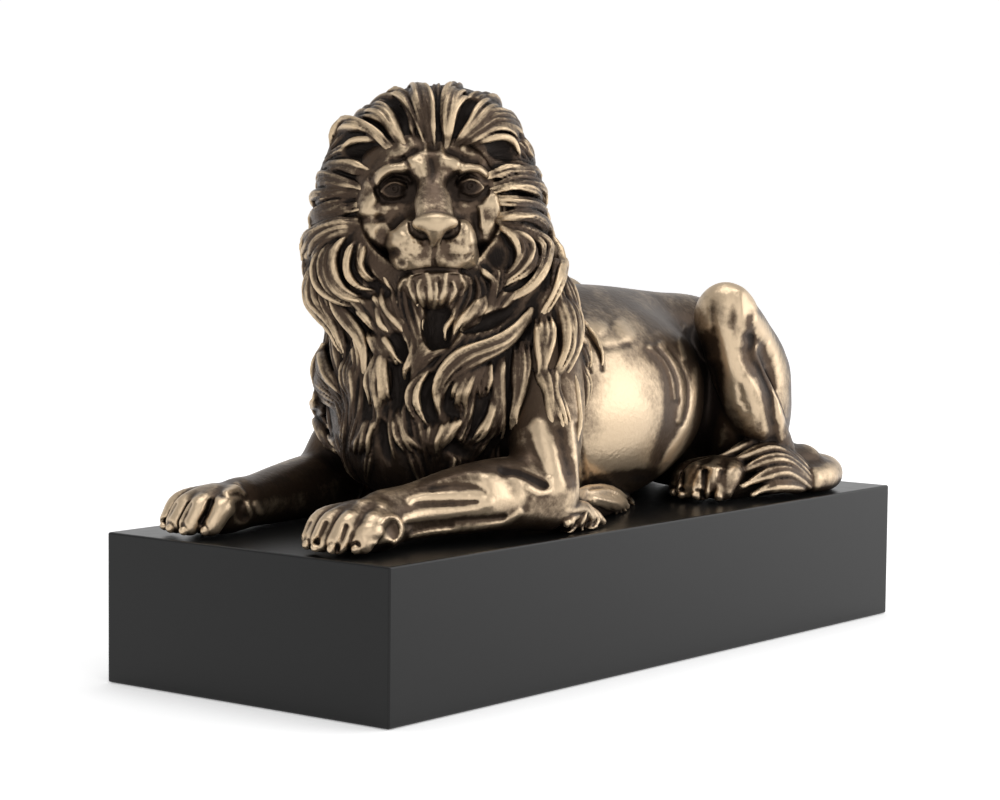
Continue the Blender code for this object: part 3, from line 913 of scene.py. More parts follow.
def maneWhole(clay, parts):
    forms = maneMassForms
    if "head" in parts:
        for at, radii in forms["on the head"]:
            ball(clay, at, radii, k=6, head=True)
    if "chest" in parts:
        for at, radii in forms["chest"]:
            ball(clay, at, radii, k=6)
        limb(clay, forms["nape"], k=8)
        for side in (-1, 1):
            limb(clay, both(forms["shoulder"], side), k=6)


def makeManes(cell):
    rng = np.random.default_rng(locksLed["seed"])
    forms = maneMassForms
    opening, openingRadii = forms["opening"]
    mass = newClay(*forms["room"], 1.0)
    maneWhole(mass, ("head", "chest"))
    clays = {
        "mane_head": newClay(*forms["head room"], cell),
        "mane_chest": newClay(*forms["chest room"], cell),
    }
    maneWhole(clays["mane_head"], ("head",))
    maneWhole(clays["mane_chest"], ("chest",))
    for clay in (mass, *clays.values()):
        ball(clay, opening, openingRadii, k=2, head=True, cut=True)
    faced = dict(mass, d=mass["d"].copy())
    faceForms(faced)
    coatBody(faced)
    ledBy = []
    tops = {}
    for name, sheaves in (("mane_head", headSheaves), ("mane_chest", chestSheaves)):
        tops[name] = dict(clays[name], d=np.full(clays[name]["d"].shape, farAway, np.float32))
        for sheaf in sheaves.values():
            putSheaf(tops[name], faced, sheaf, rng, ledBy)
    ledBy = np.vstack(ledBy)
    middle = headAt + headAxes @ np.array(locksLed["middle"])
    for row, (angle, count, *sizes) in enumerate(locksLed["round the face"]):
        tilt, turn = math.radians(angle), ringAngles(count, row, rng)
        across = math.sin(tilt)
        ways = np.stack([np.sin(turn) * across, np.cos(turn) * across, 0 * turn + math.cos(tilt)], 1)
        ways = ways[ways[:, 1] > locksLed["lowest"]] @ headAxes.T
        starts = castOn(mass, np.broadcast_to(middle, ways.shape), ways)
        starts = starts[outsideOpening(starts)]
        ledRow(clays["mane_head"], mass, starts, sizes, rng, ledBy)
    neck = locksLed["neck"]
    for row, (height, count, *sizes) in enumerate(locksLed["down the neck"]):
        turn = ringAngles(count, row, rng)
        ways = np.stack([np.sin(turn), -np.cos(turn), 0 * turn], 1)
        axis = np.array([0.0, neck["y"] + neck["slope"] * (neck["height"] - height), height])
        starts = castOn(mass, np.broadcast_to(axis, ways.shape), ways)
        ledRow(clays["mane_chest"], mass, starts, sizes, rng, ledBy)
    for name, clay in clays.items():
        ball(clay, opening, openingRadii, k=1, head=True, cut=True)
        cutHollows(clay, faced)
        clay["d"] = softMin(clay["d"], tops[name]["d"], 0.35)
        clay["lines"] += tops[name]["lines"]
    return clays


# The coat: trunk, legs and tail, in the solid's pose.
coatForms = {
    "trunk": [
        ((0, -38, 38), (34, 34, 35)),
        ((0, -2, 33), (38.5, 46, 34.5)),
        ((0, 15, 33.4), (36.9, 46, 34.3)),
        ((0, 32, 34), (34, 46, 33.5)),
        ((0, 84, 32), (28, 31, 32)),
    ],
    "spine": [(0, -10, 58, 12.5), (0, 30, 57, 12), (0, 62, 56, 12), (0, 94, 50, 13)],
    "thigh": [(26, 84, 41, 15.2), (31, 72.5, 52.2, 12.2), (34, 62, 60, 10.5)],
    "haunch": ((26, 82, 33), (17.3, 19.2, 29), (14, 0, 0)),
    "rump": ((25, 95, 12), (14.8, 9, 11.5)),
    "knee": ((34, 61, 61), (9.8, 9.2, 11)),
    "shin": [(34.5, 60, 58, 9), (36, 64, 44, 8.6), (38, 72, 30, 9), (40, 84, 15, 6.5)],
    "hind foot": [(40, 100, 8, 8), (38, 82, 7.5, 8), (34, 62, 6, 8)],
    "hind toes": [(24.5, 47), (30, 43.5), (36, 44), (41, 49)],
    "near arm": [(30, -36, 52, 13), (36.5, -41, 37, 12), (42.5, -49, 22, 10.5), (42.8, -51, 13, 10.2)],
    "near forearm": [(42.8, -51, 11.8, 10.7), (40, -64, 13, 10.8), (35.5, -80, 12, 10),
                     (31.5, -96, 10, 8.2), (29.5, -107, 9, 8)],
    "paw": ((29.3, -115, 7), (10.3, 12.5, 7.8)),
    "near toes": [(20.6, -130), (25.8, -132), (31.8, -132), (37.2, -128)],
    "far arm": [(26, -36, 50, 10), (30.5, -42, 36, 9.8), (37.5, -51, 20, 9.6), (40, -52, 11, 9.5)],
    "far forearm": [(40, -52, 9, 10), (38, -64, 9, 10), (35, -80, 8.5, 9),
                    (31.5, -96, 8, 7.8), (29.5, -105, 8, 7.8)],
    "far toes": [(20.8, -128), (26.1, -131.4), (32.6, -130.2), (38.2, -127)],
    "tail": [(0, 106, 47, 8), (3, 112, 30, 6.5), (14, 113, 13, 6), (30, 116, 6.5, 6),
             (42.5, 112, 5.7, 5.7), (48, 102, 5.2, 5), (48.5, 93, 5, 4.5)],
    "room": ((-58, -140, -2), (58, 128, 80)),
    "seed": 3,
}


# Relief drawn over the coat: (half width in pixels, height in millimetres, line in the
# photograph's pixels). A height under 0 is a hollow.
coatRelief = {
    "shoulder": [
        (3.5, -0.6, [(576, 320), (590, 337), (600, 356), (602, 370)]),
        (3.5, -0.6, [(575, 337), (585, 351), (590, 372)]),
        (11, 0.6, [(586, 325), (600, 328)]),
        (10, 0.5, [(620, 325), (628, 335)]),
        (6, -0.3, [(590, 344), (606, 348), (628, 345)]),
    ],
    "flank": [
        (9.5, -0.3, [(646, 352), (660, 366), (667, 384), (669, 404), (666, 430), (656, 458)]),
        (6, 0.5, [(650, 347), (660, 354), (668, 365), (673, 379), (675, 397)]),
        (6, 0.5, [(660, 345), (670, 357), (677, 370), (681, 386), (682, 402), (679, 420)]),
        (3.5, -0.36, [(657, 349), (668, 361), (676, 380), (678, 402)]),
        (4.1, -0.3, [(668, 349), (678, 363), (686, 382), (687, 405), (682, 424)]),
        (10.8, 0.78, [(699, 368), (698, 390), (694, 414), (685, 436), (672, 455), (659, 474)]),
        (4.7, 0.36, [(684, 326), (680, 340), (684, 358)]),
        (16.2, -1.56, [(713, 372), (712, 396), (711, 424), (702, 450)]),
        (10.8, -0.48, [(600, 484), (620, 476), (645, 478), (665, 482)]),
    ],
    "knee": [
        (11.2, 0.6, [(742, 292), (742, 310), (744, 326), (742, 340)]),
        (7, -0.3, [(735, 296), (734, 312), (731, 326)]),
        (12.6, 0.3, [(714, 290), (726, 288), (734, 292)]),
        (7, 0.24, [(706, 302), (705, 314), (708, 326)]),
        (5.6, -0.18, [(713, 302), (712, 316), (714, 330)]),
        (9.8, -0.48, [(711, 332), (715, 346), (720, 362)]),
        (7, -0.24, [(748, 300), (750, 314), (753, 328)]),
    ],
    "shin": [
        (12.6, 0.42, [(727, 342), (728, 360), (736, 376), (745, 388)]),
        (9.8, 0.48, [(750, 382), (754, 396), (754, 412)]),
        (4.9, -0.48, [(739, 386), (741, 394), (741, 401)]),
        (4.2, -0.24, [(745, 404), (748, 410)]),
        (9.8, -1.44, [(748, 338), (747, 356), (755, 370), (765, 386), (770, 404), (773, 424), (773, 440)]),
        (7, 0.36, [(757, 380), (763, 396), (766, 414), (767, 430)]),
    ],
    "thigh": [
        (12.6, 0.63, [(757, 322), (766, 336), (774, 352), (779, 372), (781, 396), (780, 414)]),
        (5.6, -0.35, [(767, 340), (763, 350), (766, 362)]),
        (5.6, 0.35, [(758, 346), (762, 356), (764, 366)]),
        (5.6, -0.28, [(771, 356), (772, 372), (774, 386)]),
    ],
    "hind toes": [
        (6.9, 1.02, [(697, 470), (692, 481), (690, 495)]),
        (8, 1.1, [(716, 472), (717, 484), (719, 498)]),
        (4.6, -1.36, [(705, 472), (704, 484), (703, 497)]),
        (3.4, -1.02, [(683, 474), (682, 490)]),
        (3.4, 0.68, [(697, 464), (709, 467), (722, 468)]),
    ],
    "upper arm": [
        (12.6, 0.6, [(538, 425), (542, 440), (550, 456), (558, 472), (563, 484)]),
        (9.8, -0.48, [(560, 432), (563, 452), (568, 474)]),
        (4.9, 0.36, [(572, 424), (576, 450), (579, 478), (581, 498)]),
        (5.6, -0.36, [(577, 425), (581, 450), (584, 474)]),
        (7, -0.36, [(529, 436), (536, 456), (545, 474)]),
    ],
    "elbow": [
        (6.5, -0.85, [(503, 472), (520, 474), (535, 481), (547, 486)]),
        (10.4, -0.52, [(505, 478), (512, 490)]),
        (3.9, 0.59, [(528, 487), (539, 493), (549, 490), (550, 478)]),
        (6.5, -0.33, [(528, 500), (526, 508)]),
        (18.2, 0.72, [(492, 486), (494, 498)]),
    ],
    "forearm": [
        (8.1, 0.48, [(440, 480), (460, 474), (478, 473), (488, 477)]),
        (5.4, -0.54, [(432, 489), (455, 486), (475, 487), (485, 492)]),
        (6.1, 0.6, [(410, 501), (425, 495), (445, 495), (465, 496), (482, 497)]),
        (5.4, -0.54, [(416, 503), (440, 504), (462, 505), (476, 503)]),
        (7.4, 0.66, [(407, 518), (425, 514), (450, 511), (475, 507), (490, 504)]),
        (5.4, -0.6, [(409, 525), (440, 522), (470, 519), (503, 517)]),
        (5.4, 0.6, [(411, 538), (430, 533), (460, 530), (486, 527), (506, 522), (520, 512)]),
        (4.1, -0.36, [(413, 530), (432, 528), (452, 526)]),
    ],
    "wrist": [
        (9, -0.9, [(390, 528), (392, 530)]),
        (3.6, 0.9, [(381, 523), (387, 517), (397, 518), (402, 527), (400, 538), (394, 542)]),
        (4.8, 0.6, [(377, 544), (386, 540), (394, 544), (393, 550)]),
        (6, -0.9, [(376, 550), (384, 548)]),
        (6, 0.45, [(360, 500), (372, 498), (384, 504)]),
        (6, -0.3, [(352, 510), (368, 509), (382, 512)]),
    ],
    "near paw": [
        (4.6, -1.1, [(326, 523), (321, 534), (316, 544)]),
        (4.6, -1.19, [(346, 526), (342, 538), (337, 550)]),
        (3.4, -0.77, [(311, 522), (306, 532), (301, 543)]),
        (5.8, -0.42, [(358, 541), (360, 543)]),
        (8, 0.51, [(356, 530), (372, 530), (381, 534)]),
    ],
    "far paw": [
        (4.6, -1.1, [(190, 504), (186, 514), (181, 524)]),
        (5.2, -1.19, [(211, 502), (207, 513), (202, 522)]),
        (9.2, -1.36, [(240, 505), (243, 515)]),
        (8, 0.77, [(236, 486), (228, 492)]),
        (4.6, -0.51, [(222, 496), (234, 494), (246, 498)]),
        (5.8, 0.59, [(256, 503), (260, 512)]),
        (3.4, -0.68, [(176, 504), (169, 515), (164, 524)]),
    ],
}

# Where the coat is painted lighter or darker: worn bright on what stands out, with painted highlights on
# the tops of the forearm, elbow and knee, and painted shade in its creases, under the belly and the mane's
# foot and low by the plinth: (half width in pixels, how much, line).
coatWearAndPaintedLight = [
    (36, 0.05, [(622, 384), (622, 440)]),
    (16, -0.14, [(596, 486), (625, 478), (660, 480)]),
    (12, -0.1, [(655, 352), (667, 372), (671, 400), (667, 435), (654, 464)]),
    (10, 0.1, [(698, 370), (696, 396), (688, 428), (672, 456)]),
    (21, 0.1, [(724, 292), (744, 302)]),
    (14, 0.1, [(728, 336), (730, 366), (742, 396), (752, 414)]),
    (14, 0.10, [(760, 324), (774, 348), (782, 374), (780, 418)]),
    (8, -0.12, [(750, 320), (752, 350), (764, 376), (771, 420)]),
    (21, -0.16, [(704, 350), (708, 400), (700, 440)]),
    (26, 0.07, [(592, 328), (626, 332)]),
    (14, 0.16, [(538, 428), (546, 456), (555, 486)]),
    (9, -0.12, [(560, 432), (566, 460), (570, 484)]),
    (21, 0.12, [(486, 490), (514, 494)]),
    (6, 0.12, [(412, 500), (445, 496), (480, 495)]),
    (10, 0.1, [(410, 519), (450, 512), (490, 507)]),
    (12, -0.12, [(428, 484), (470, 468), (520, 462)]),
    (8, -0.18, [(500, 470), (522, 474), (544, 484)]),
    (21, 0.02, [(308, 524), (345, 530), (378, 532)]),
    (21, -0.14, [(262, 486), (300, 474), (332, 462)]),
    (13, 0.06, [(180, 506), (205, 510), (226, 512)]),
    (16, -0.08, [(640, 480), (676, 486)]),
    (24, -0.07, [(700, 480), (740, 478), (780, 474)]),
]

# Hair that lies on the coat and the plinth, as sheaves like the mane's.
coatSheaves = {
    "elbow tuft": (1.3, 0.1, [
        [(552, 503), (572, 503), (590, 510), (600, 522), (597, 531)],
        [(552, 509), (568, 510), (580, 518), (583, 530)],
    ]),
    "elbow tuft low": (1.3, 0.1, [
        [(575, 512), (568, 519), (560, 531)],
        [(583, 514), (579, 524), (571, 533)],
    ]),
    "belly tuft": (1.1, -0.2, [
        [(584, 490), (602, 489), (622, 494), (639, 504)],
        [(588, 497), (603, 498), (618, 502), (632, 508)],
        [(592, 502), (603, 505), (612, 509), (620, 514)],
    ]),
}

tailTuft = {
    # where each of its locks starts, its crest over the foot and its tip
    "roots": ((47.0, 94, 7.0), (48.5, 93, 5.5), (49.5, 91, 4.5), (49.5, 89, 3.5), (49.0, 87, 3.0)),
    "crests": ((41.5, 78, 18.0), (45.0, 77, 15.6), (48.0, 76, 12.4), (49.6, 75, 8.8), (49.8, 75, 4.8)),
    "tips": ((33, 59, 13.4), (37, 57, 11.4), (41, 56, 8.6), (45, 56, 5.4), (46.5, 60, 2.4)),
    "half": 2.9,
    "groove": 0.5,
    "steps": 22,
}


def toe(clay, side, x, y, rootX):
    # two joints and the pad, then a short rounded claw
    rows = [(rootX, y + 15, 9.5, 4.8), (x, y + 6.5, 8.8, 3.6), (x, y + 1.9, 4.2, 3.3)]
    limb(clay, both(rows, side), k=0.9)
    ball(clay, (side * x, y - 1.6, 2.9), (2.1, 1.5, 2.1), k=0.4, cut=True)
    ball(clay, (side * x, y - 0.5, 2.7), (1.35, 1.9, 1.5), k=0.2)


def sideBall(clay, name, side, k):
    (x, y, z), radii, *tilt = coatForms[name]
    ball(clay, (side * x, y, z), radii, *tilt, k=k)


def foreLeg(clay, side, which):
    forms = coatForms
    limb(clay, both(forms[which + " arm"], side), k=5)
    limb(clay, both(forms[which + " forearm"], side), k=4)
    sideBall(clay, "paw", side, 3)
    for x, y in forms[which + " toes"]:
        toe(clay, side, x, y, 0.5 * x + 14.6)


def hindLeg(clay, side):
    forms = coatForms
    sideBall(clay, "haunch", side, 4)
    sideBall(clay, "rump", side, 4)
    limb(clay, both(forms["thigh"], side), k=4)
    sideBall(clay, "knee", side, 2.5)
    limb(clay, both(forms["shin"], side), k=1.5)
    limb(clay, both(forms["hind foot"], side), k=2)
    for x, y in forms["hind toes"]:
        toe(clay, side, x, y, 0.4 * x + 20)


def coatBody(clay):
    forms = coatForms
    for at, radii in forms["trunk"]:
        ball(clay, at, radii, k=8)
    limb(clay, forms["spine"], k=8)
    for side, which in ((1, "near"), (-1, "far")):
        hindLeg(clay, side)
        foreLeg(clay, side, which)
        for i in range(3):
            # hair behind the elbow, and a feather of it under the flank
            root = (43, -44 + 4 * i, 8 - 1.5 * i, 3.6)
            limb(clay, both([root, (46, -38 + 4 * i, 4, 2.4), (47, -33 + 4 * i, 1.5, 1.1)], side), k=1)
            root = (41 - 2 * i, -42 + 9 * i, 6, 4.6)
            tip = (34 - 3 * i, -4 + 9 * i, 1.5, 1)
            limb(clay, both([root, (36 - 2 * i, -20 + 9 * i, 4, 3.2), tip], side), k=1)
    limb(clay, forms["tail"], k=3)


def towardCamera(clay):
    # a function that is 1 where the clay's surface looks to the camera, 0 where it looks away
    place = cameraAxes()[0] - [0.0, 0.0, plinthTop]

    def facing(points):
        seen = (outwards(clay, points) * unitVector(place - points)).sum(-1)
        return np.clip((seen - 0.05) * 4, 0, 1)

    return facing


def makeCoat(cell):
    low, high = coatForms["room"]
    clay = newClay(low, high, cell)
    coatBody(clay)
    drawRelief(clay, coatRelief.values(), towardCamera(clay))
    # the tufts lie on the body and on the plinth's top
    ground = newClay((low[0], low[1], low[2] - 1), high, 1.0)
    coatBody(ground)
    z = ground["low"][2] + ground["cell"] * np.arange(ground["d"].shape[2])
    ground["d"] = np.minimum(ground["d"], (z - soles - 0.6)[None, None, :].astype(np.float32))
    rng = np.random.default_rng(coatForms["seed"])
    for sheaf in coatSheaves.values():
        putSheaf(clay, ground, sheaf, rng, [])
    tuft, steps = tailTuft, tailTuft["steps"]
    for root, crest, tip in zip(tuft["roots"], tuft["crests"], tuft["tips"]):
        middle = (np.array(crest) + tip) / 2 + [0, 0, 1.2]
        path = evened(smoothPath([root, crest, middle, tip], 6), steps)
        outs = unitVector(path - np.stack([0 * path[:, 0] + 34, path[:, 1], 0 * path[:, 0] + 1], 1))
        t = np.linspace(0, 1, steps)
        width = tuft["half"] * np.clip(np.minimum(0.7 + 2 * t, (1 - t) * 3.0), 0.3, 1)
        addLock(clay, path, outs, width, 0.8 * width + 0.4, 2, tuft["groove"], k=0.3)
    return clay


# The face, on the head's axes: u to the lion's left, v up, w out.
eyes = {
    -1: (11.0, 0.0, 7.3),
    1: (12.0, 0.5, 7.3),
    "radius": 4.2,
    # across from the nose outwards and up, from each eye's middle
    "upper lid": [(-4.2, -0.2), (-2.8, 1.2), (-0.4, 2.0), (1.8, 1.5), (3.6, -0.3)],
    "lower lid": [(-4.0, -0.8), (-2.0, -1.8), (0.0, -2.1), (2.0, -1.7), (3.4, -0.6)],
    "lid": 0.5,  # half width of the upper lid, of the crease over it and of the lower lid
    "crease": 0.35,
    "lower": 0.36,
    "iris": 1.5,
    "pupil": 0.6,
}

# Its forms, before the eyes and the drawn relief. A ball is its centre, radii and how softly it
# joins; a limb is rows of (u, v, w, radius) and how softly. What comes in pairs is given once.
faceShapes = {
    "skull": ((0, 0, -3), (23.5, 19, 14.0), 3),
    "jaw": ((0, -12, 0.5), (21, 15, 11.5), 5),
    "snout": ((0, -15.5, 8.5), (13.5, 10.5, 14), 4),
    "bridge": ([(1.8, 8.0, 9.6, 3.2), (2.2, 0, 15.0, 3.2), (2.6, -7.8, 24.0, 3.2)], 2.5),
    "bridge middle": ([(0.2, 6.0, 9.5, 3), (0.2, -7.6, 22.6, 4.0)], 2),
    "chin": ((0.2, -30.2, 11.6), (9.7, 6.4, 10.4), 1.5),
    "lip": ([(-9.0, -28.2, 13.8, 2.3), (-5.0, -26.6, 18.4, 2.2), (0.2, -26.0, 20.6, 2.3),
             (5.4, -26.5, 18.6, 2.2), (9.6, -28.0, 14.0, 2.3)], 2.0),
    "cheek bone": ((17.6, -5.2, 2.8), (4.8, 7.4, 6.2), 3),
    "cheek": ((15.8, -14.2, 2.8), (4.6, 5.2, 6.4), 2.5),
    "eye socket": ((9.8, 1.5, 15.4), (4.9, 3.4, 4.6), 3.5),
    "beside the nose": ((11.4, -9.8, 14.7), (3.2, 3.4, 4.0), 3),
    "inner brow": ((5.2, 6.8, 10.4), (3.6, 3.2, 3.2), 3),
    "brow": ([(6.6, 6.8, 10.2, 1.7), (10.6, 6.2, 10.6, 1.9), (14.4, 4.6, 8.8, 2.1),
              (17.4, 1.4, 5.4, 1.7)], 2.6),
    "muzzle pad": ((6.8, -16.4, 17.8), (7.4, 7.2, 8.6), 3),
    "muzzle rim": ([(2.4, -21.6, 22.0, 1.6), (6.4, -22.4, 21.4, 1.7), (10.6, -21.6, 18.0, 1.7),
                    (13.2, -20.4, 13.0, 1.5)], 2),
    "muzzle back": ((9.8, -19.2, 13.4), (5.2, 4.8, 7.6), 2.5),
    "muzzle middle": ((0, -17.8, 19.6), (5.4, 5.8, 5.9), 1.5),
    "muzzle width": {1: 0.94, -1: 0.9},  # the head is a little turned from the camera
    "nose pad": ((0, -9.9, 27.0), (6.8, 2.8, 4.7), 1.8),
    "septum": ([(0, -10.8, 28.6, 3.0), (0, -13.2, 27.4, 2.2), (0, -15.6, 25.8, 1.3)], 2),
    # grooves over the face: (u, v, half width)
    "nostril": [(7.0, -9.6, 0.7), (6.6, -11.4, 1.1), (5.6, -12.9, 1.25), (4.0, -13.8, 1.0),
                (2.4, -14.0, 0.5)],
    "split lip": [(1.0, -15.0, 0.3), (0.3, -16.4, 0.4), (-0.4, -18.4, 0.5), (-0.5, -20.6, 0.55),
                  (-0.1, -22.8, 0.7)],
    "mouth": {"from": -13.4, "to": 14.6, "height": -23.7, "droop": 1.3, "ends": 0.4, "middle": 0.45},
    "room": ((-26, 26), (-42, 22), (-10, 40)),  # that its grid needs
    "whiskers": {"rows": (-14.6, -17.0, -19.4), "from": 4.0, "to": 11.4, "step": 2.1, "seed": 5},
}

# Relief drawn over the face, as on the coat.
faceRelief = {
    "forehead": [
        (9, 0.35, [(394, 155), (400, 151), (407, 149)]),
        (6, -0.7, [(393, 160), (401, 160), (408, 156), (414, 150)]),
        (8.1, 0.43, [(470, 150), (465, 149)]),
        (8.1, 0.4, [(475, 157), (480, 153), (484, 159)]),
        (7, -0.7, [(450, 153), (459, 156), (468, 160), (475, 161)]),
        (9, -0.35, [(433, 150), (433, 160), (434, 172)]),
        (8.1, 0.19, [(424, 148), (442, 148)]),
        (8.1, -0.37, [(380, 158), (376, 166), (373, 176)]),
    ],
    "inner brows": [
        (9, 0.75, [(413, 162), (419, 164), (421, 171)]),
        (9, 0.7, [(446, 160), (453, 162), (460, 168)]),
        (4, -0.6, [(407, 163), (407, 172), (411, 180)]),
        (4, -0.3, [(466, 160), (464, 168)]),
        (5, -0.4, [(430, 160), (433, 170), (431, 180)]),
        (3, -0.45, [(404, 158), (409, 165), (410, 174)]),
        (3, -0.45, [(462, 158), (460, 166), (457, 174)]),
        (4, -0.5, [(370, 180), (375, 187), (378, 194)]),
        (4, -0.5, [(490, 178), (489, 186), (487, 194)]),
        (2.7, -0.25, [(419, 160), (420, 161)]),
        (2.7, -0.25, [(443, 162), (444, 164)]),
    ],
    "brow bands": [
        (6, 0.6, [(378, 184), (381, 176), (388, 170), (396, 168), (405, 169)]),
        (6, 0.6, [(464, 169), (471, 168), (479, 169), (485, 174)]),
        (4.5, -0.7, [(380, 188), (385, 180), (393, 175), (403, 176), (410, 182)]),
        (4.5, -0.7, [(458, 184), (462, 177), (470, 173), (479, 174), (486, 181)]),
        (4.05, 0.31, [(374, 171), (379, 164), (387, 160)]),
    ],
    "inner corners": [
        (9, -0.5, [(406, 176), (410, 184), (411, 192), (409, 198)]),
        (7, -0.4, [(455, 176), (454, 183), (455, 190), (456, 196)]),
        (7, -0.4, [(404, 202), (410, 208), (413, 216)]),
        (7, -0.3, [(457, 202), (457, 210), (458, 218)]),
    ],
    "outer corners": [
        (5, -0.5, [(377, 189), (379, 196), (383, 202)]),
        (5, -0.5, [(486, 188), (485, 195), (481, 201)]),
    ],
    "under the eyes": [
        (4.05, 0.31, [(385, 194), (391, 196), (399, 196)]),
        (4.05, -0.25, [(386, 200), (393, 201), (400, 200)]),
        (5, 0.25, [(382, 206), (388, 207), (395, 207)]),
        (4.05, 0.31, [(460, 195), (468, 196), (476, 194)]),
        (5, 0.2, [(462, 203), (468, 205), (474, 202)]),
        (4.05, -0.25, [(463, 199), (470, 200)]),
    ],
    "cheeks": [
        (8, 0.8, [(373, 199), (368, 205)]),
        (8, 0.8, [(366, 212), (373, 216)]),
        (6.75, 0.43, [(376, 211), (382, 213), (386, 209)]),
        (6.75, -0.5, [(362, 219), (371, 219), (381, 218)]),
        (16.2, 1.6, [(371, 231), (379, 232), (383, 235)]),
        (10.8, -1.2, [(382, 234), (384, 237)]),
        (4.05, -0.31, [(367, 229), (367, 235)]),
        (14, 1.1, [(488, 203), (490, 213), (489, 224)]),
        (9.45, -0.68, [(489, 212), (489, 215)]),
        (5.4, 0.5, [(496, 196), (499, 206), (501, 218)]),
        (4.05, 0.31, [(479, 207), (482, 216), (481, 226)]),
        (10.8, -0.87, [(391, 252), (386, 262), (388, 274)]),
        (10.8, -0.87, [(481, 246), (484, 256), (486, 262)]),
        (8.1, -0.43, [(404, 212), (400, 218), (394, 226)]),
        (6.75, -0.5, [(474, 216), (476, 226), (478, 236)]),
    ],
    "muzzle": [
        (6.75, 0.56, [(397, 233), (400, 228), (406, 224)]),
        (6.75, 0.56, [(391, 248), (396, 242), (401, 237)]),
        (6.75, 0.56, [(461, 224), (467, 223), (470, 231), (471, 241)]),
        (6.75, 0.31, [(402, 258), (412, 264), (424, 262)]),
        (6.75, 0.31, [(444, 261), (455, 264), (468, 261)]),
        (4.05, -0.31, [(411, 232), (417, 238), (423, 244)]),
        (4.05, -0.31, [(450, 238), (456, 242), (463, 243)]),
        (4.05, -0.31, [(470, 246), (471, 253), (466, 258)]),
        (6.75, -0.56, [(395, 252), (400, 256), (402, 262)]),
    ],
    "lower lip": [
        (2.5, 0.3, [(402, 281), (410, 277), (420, 273), (433, 271), (446, 272), (460, 274), (470, 277)]),
    ],
    "hair of the chin": [
        (3.5, 0.4, [(404, 279), (399, 288), (401, 297), (408, 305)]),
        (3.5, 0.45, [(411, 276), (408, 288), (415, 304)]),
        (3.0, 0.38, [(420, 280), (417, 292), (423, 307)]),
        (3.5, 0.45, [(427, 274), (430, 286), (430, 300)]),
        (3.0, 0.38, [(436, 284), (437, 296), (434, 308)]),
        (3.5, 0.45, [(446, 275), (445, 288), (441, 303)]),
        (3.0, 0.38, [(453, 282), (456, 292), (449, 306)]),
        (3.5, 0.45, [(461, 277), (466, 287), (462, 299)]),
        (2.0, -0.35, [(407, 288), (412, 303)]),
        (2.0, -0.4, [(414, 282), (416, 294), (419, 306)]),
        (2.0, -0.45, [(425, 288), (427, 300), (426, 308)]),
        (2.0, -0.4, [(438, 278), (440, 288), (438, 298)]),
        (2.0, -0.4, [(451, 284), (449, 296), (445, 306)]),
        (2.0, -0.35, [(461, 290), (456, 303)]),
    ],
    "hairline": [
        (5, 0.35, [(398, 141), (402, 147)]),
        (5, 0.35, [(410, 139), (414, 146)]),
        (5, 0.4, [(424, 138), (426, 147)]),
        (5, 0.4, [(444, 138), (442, 147)]),
        (5, 0.35, [(456, 139), (452, 146)]),
        (5, 0.35, [(468, 141), (463, 147)]),
    ],
}


def onEye(side, u, v, over):
    # a point over the eyeball of one side, (u, v) from its middle
    a, b, c = eyes[side]
    r = eyes["radius"] + over
    return side * (a + u), b + v, c + math.sqrt(max(r * r - u * u - v * v, 0.0))


def onFace(clay, spots):
    # the outermost place of the face at each (u, v)
    spots = np.array(spots, float)
    far = np.arange(42.0, -6.0, -0.2)
    flat = np.hstack([spots, np.zeros((len(spots), 1))])
    points = flat[:, None] + np.array([0, 0, 1.0]) * far[None, :, None]
    inside = valueAt(clay, headAt + points @ headAxes.T) < 0
    return np.hstack([spots, far[inside.argmax(1)][:, None]])


def faceward(points):
    # 1 in front of the face, 0 behind it
    return np.clip(((points - headAt) @ faceOut + 6) / 5, 0, 1)


def faceBall(clay, name, side=1, wide=1.0, tilt=(0, 0, 0), cut=False):
    (u, v, w), (a, b, c), k = faceShapes[name]
    ball(clay, (side * u * wide, v, w), (a * wide, b, c), tilt, k=k, head=True, cut=cut)


def faceLimb(clay, name, side=1):
    rows, k = faceShapes[name]
    limb(clay, both(rows, side), k=k, head=True)


def faceGroove(clay, name, k, side=1):
    rows = np.array(faceShapes[name])
    line = onFace(clay, rows[:, :2] * [side, 1])
    limb(clay, np.hstack([line, rows[:, 2:]]), k=k, head=True, cut=True)


def faceForms(clay):
    # the skull and muzzle, without the eyes and the nose pad
    for name in ("skull", "jaw", "snout"):
        faceBall(clay, name)
    for side in (-1, 1):
        faceLimb(clay, "bridge", side)
    faceLimb(clay, "bridge middle")
    faceBall(clay, "chin")
    faceLimb(clay, "lip")
    for side in (-1, 1):
        faceBall(clay, "cheek bone", side, tilt=(0, 0, side * 8))
        faceBall(clay, "cheek", side)
        faceBall(clay, "eye socket", side, cut=True)
        faceBall(clay, "beside the nose", side, cut=True)
        faceBall(clay, "inner brow", side)
        faceLimb(clay, "brow", side)
        wide = faceShapes["muzzle width"][side]
        faceBall(clay, "muzzle pad", side, wide, (0, side * 10, 0))
        faceLimb(clay, "muzzle rim", side * wide)
        faceBall(clay, "muzzle back", side, wide)
    faceBall(clay, "muzzle middle")


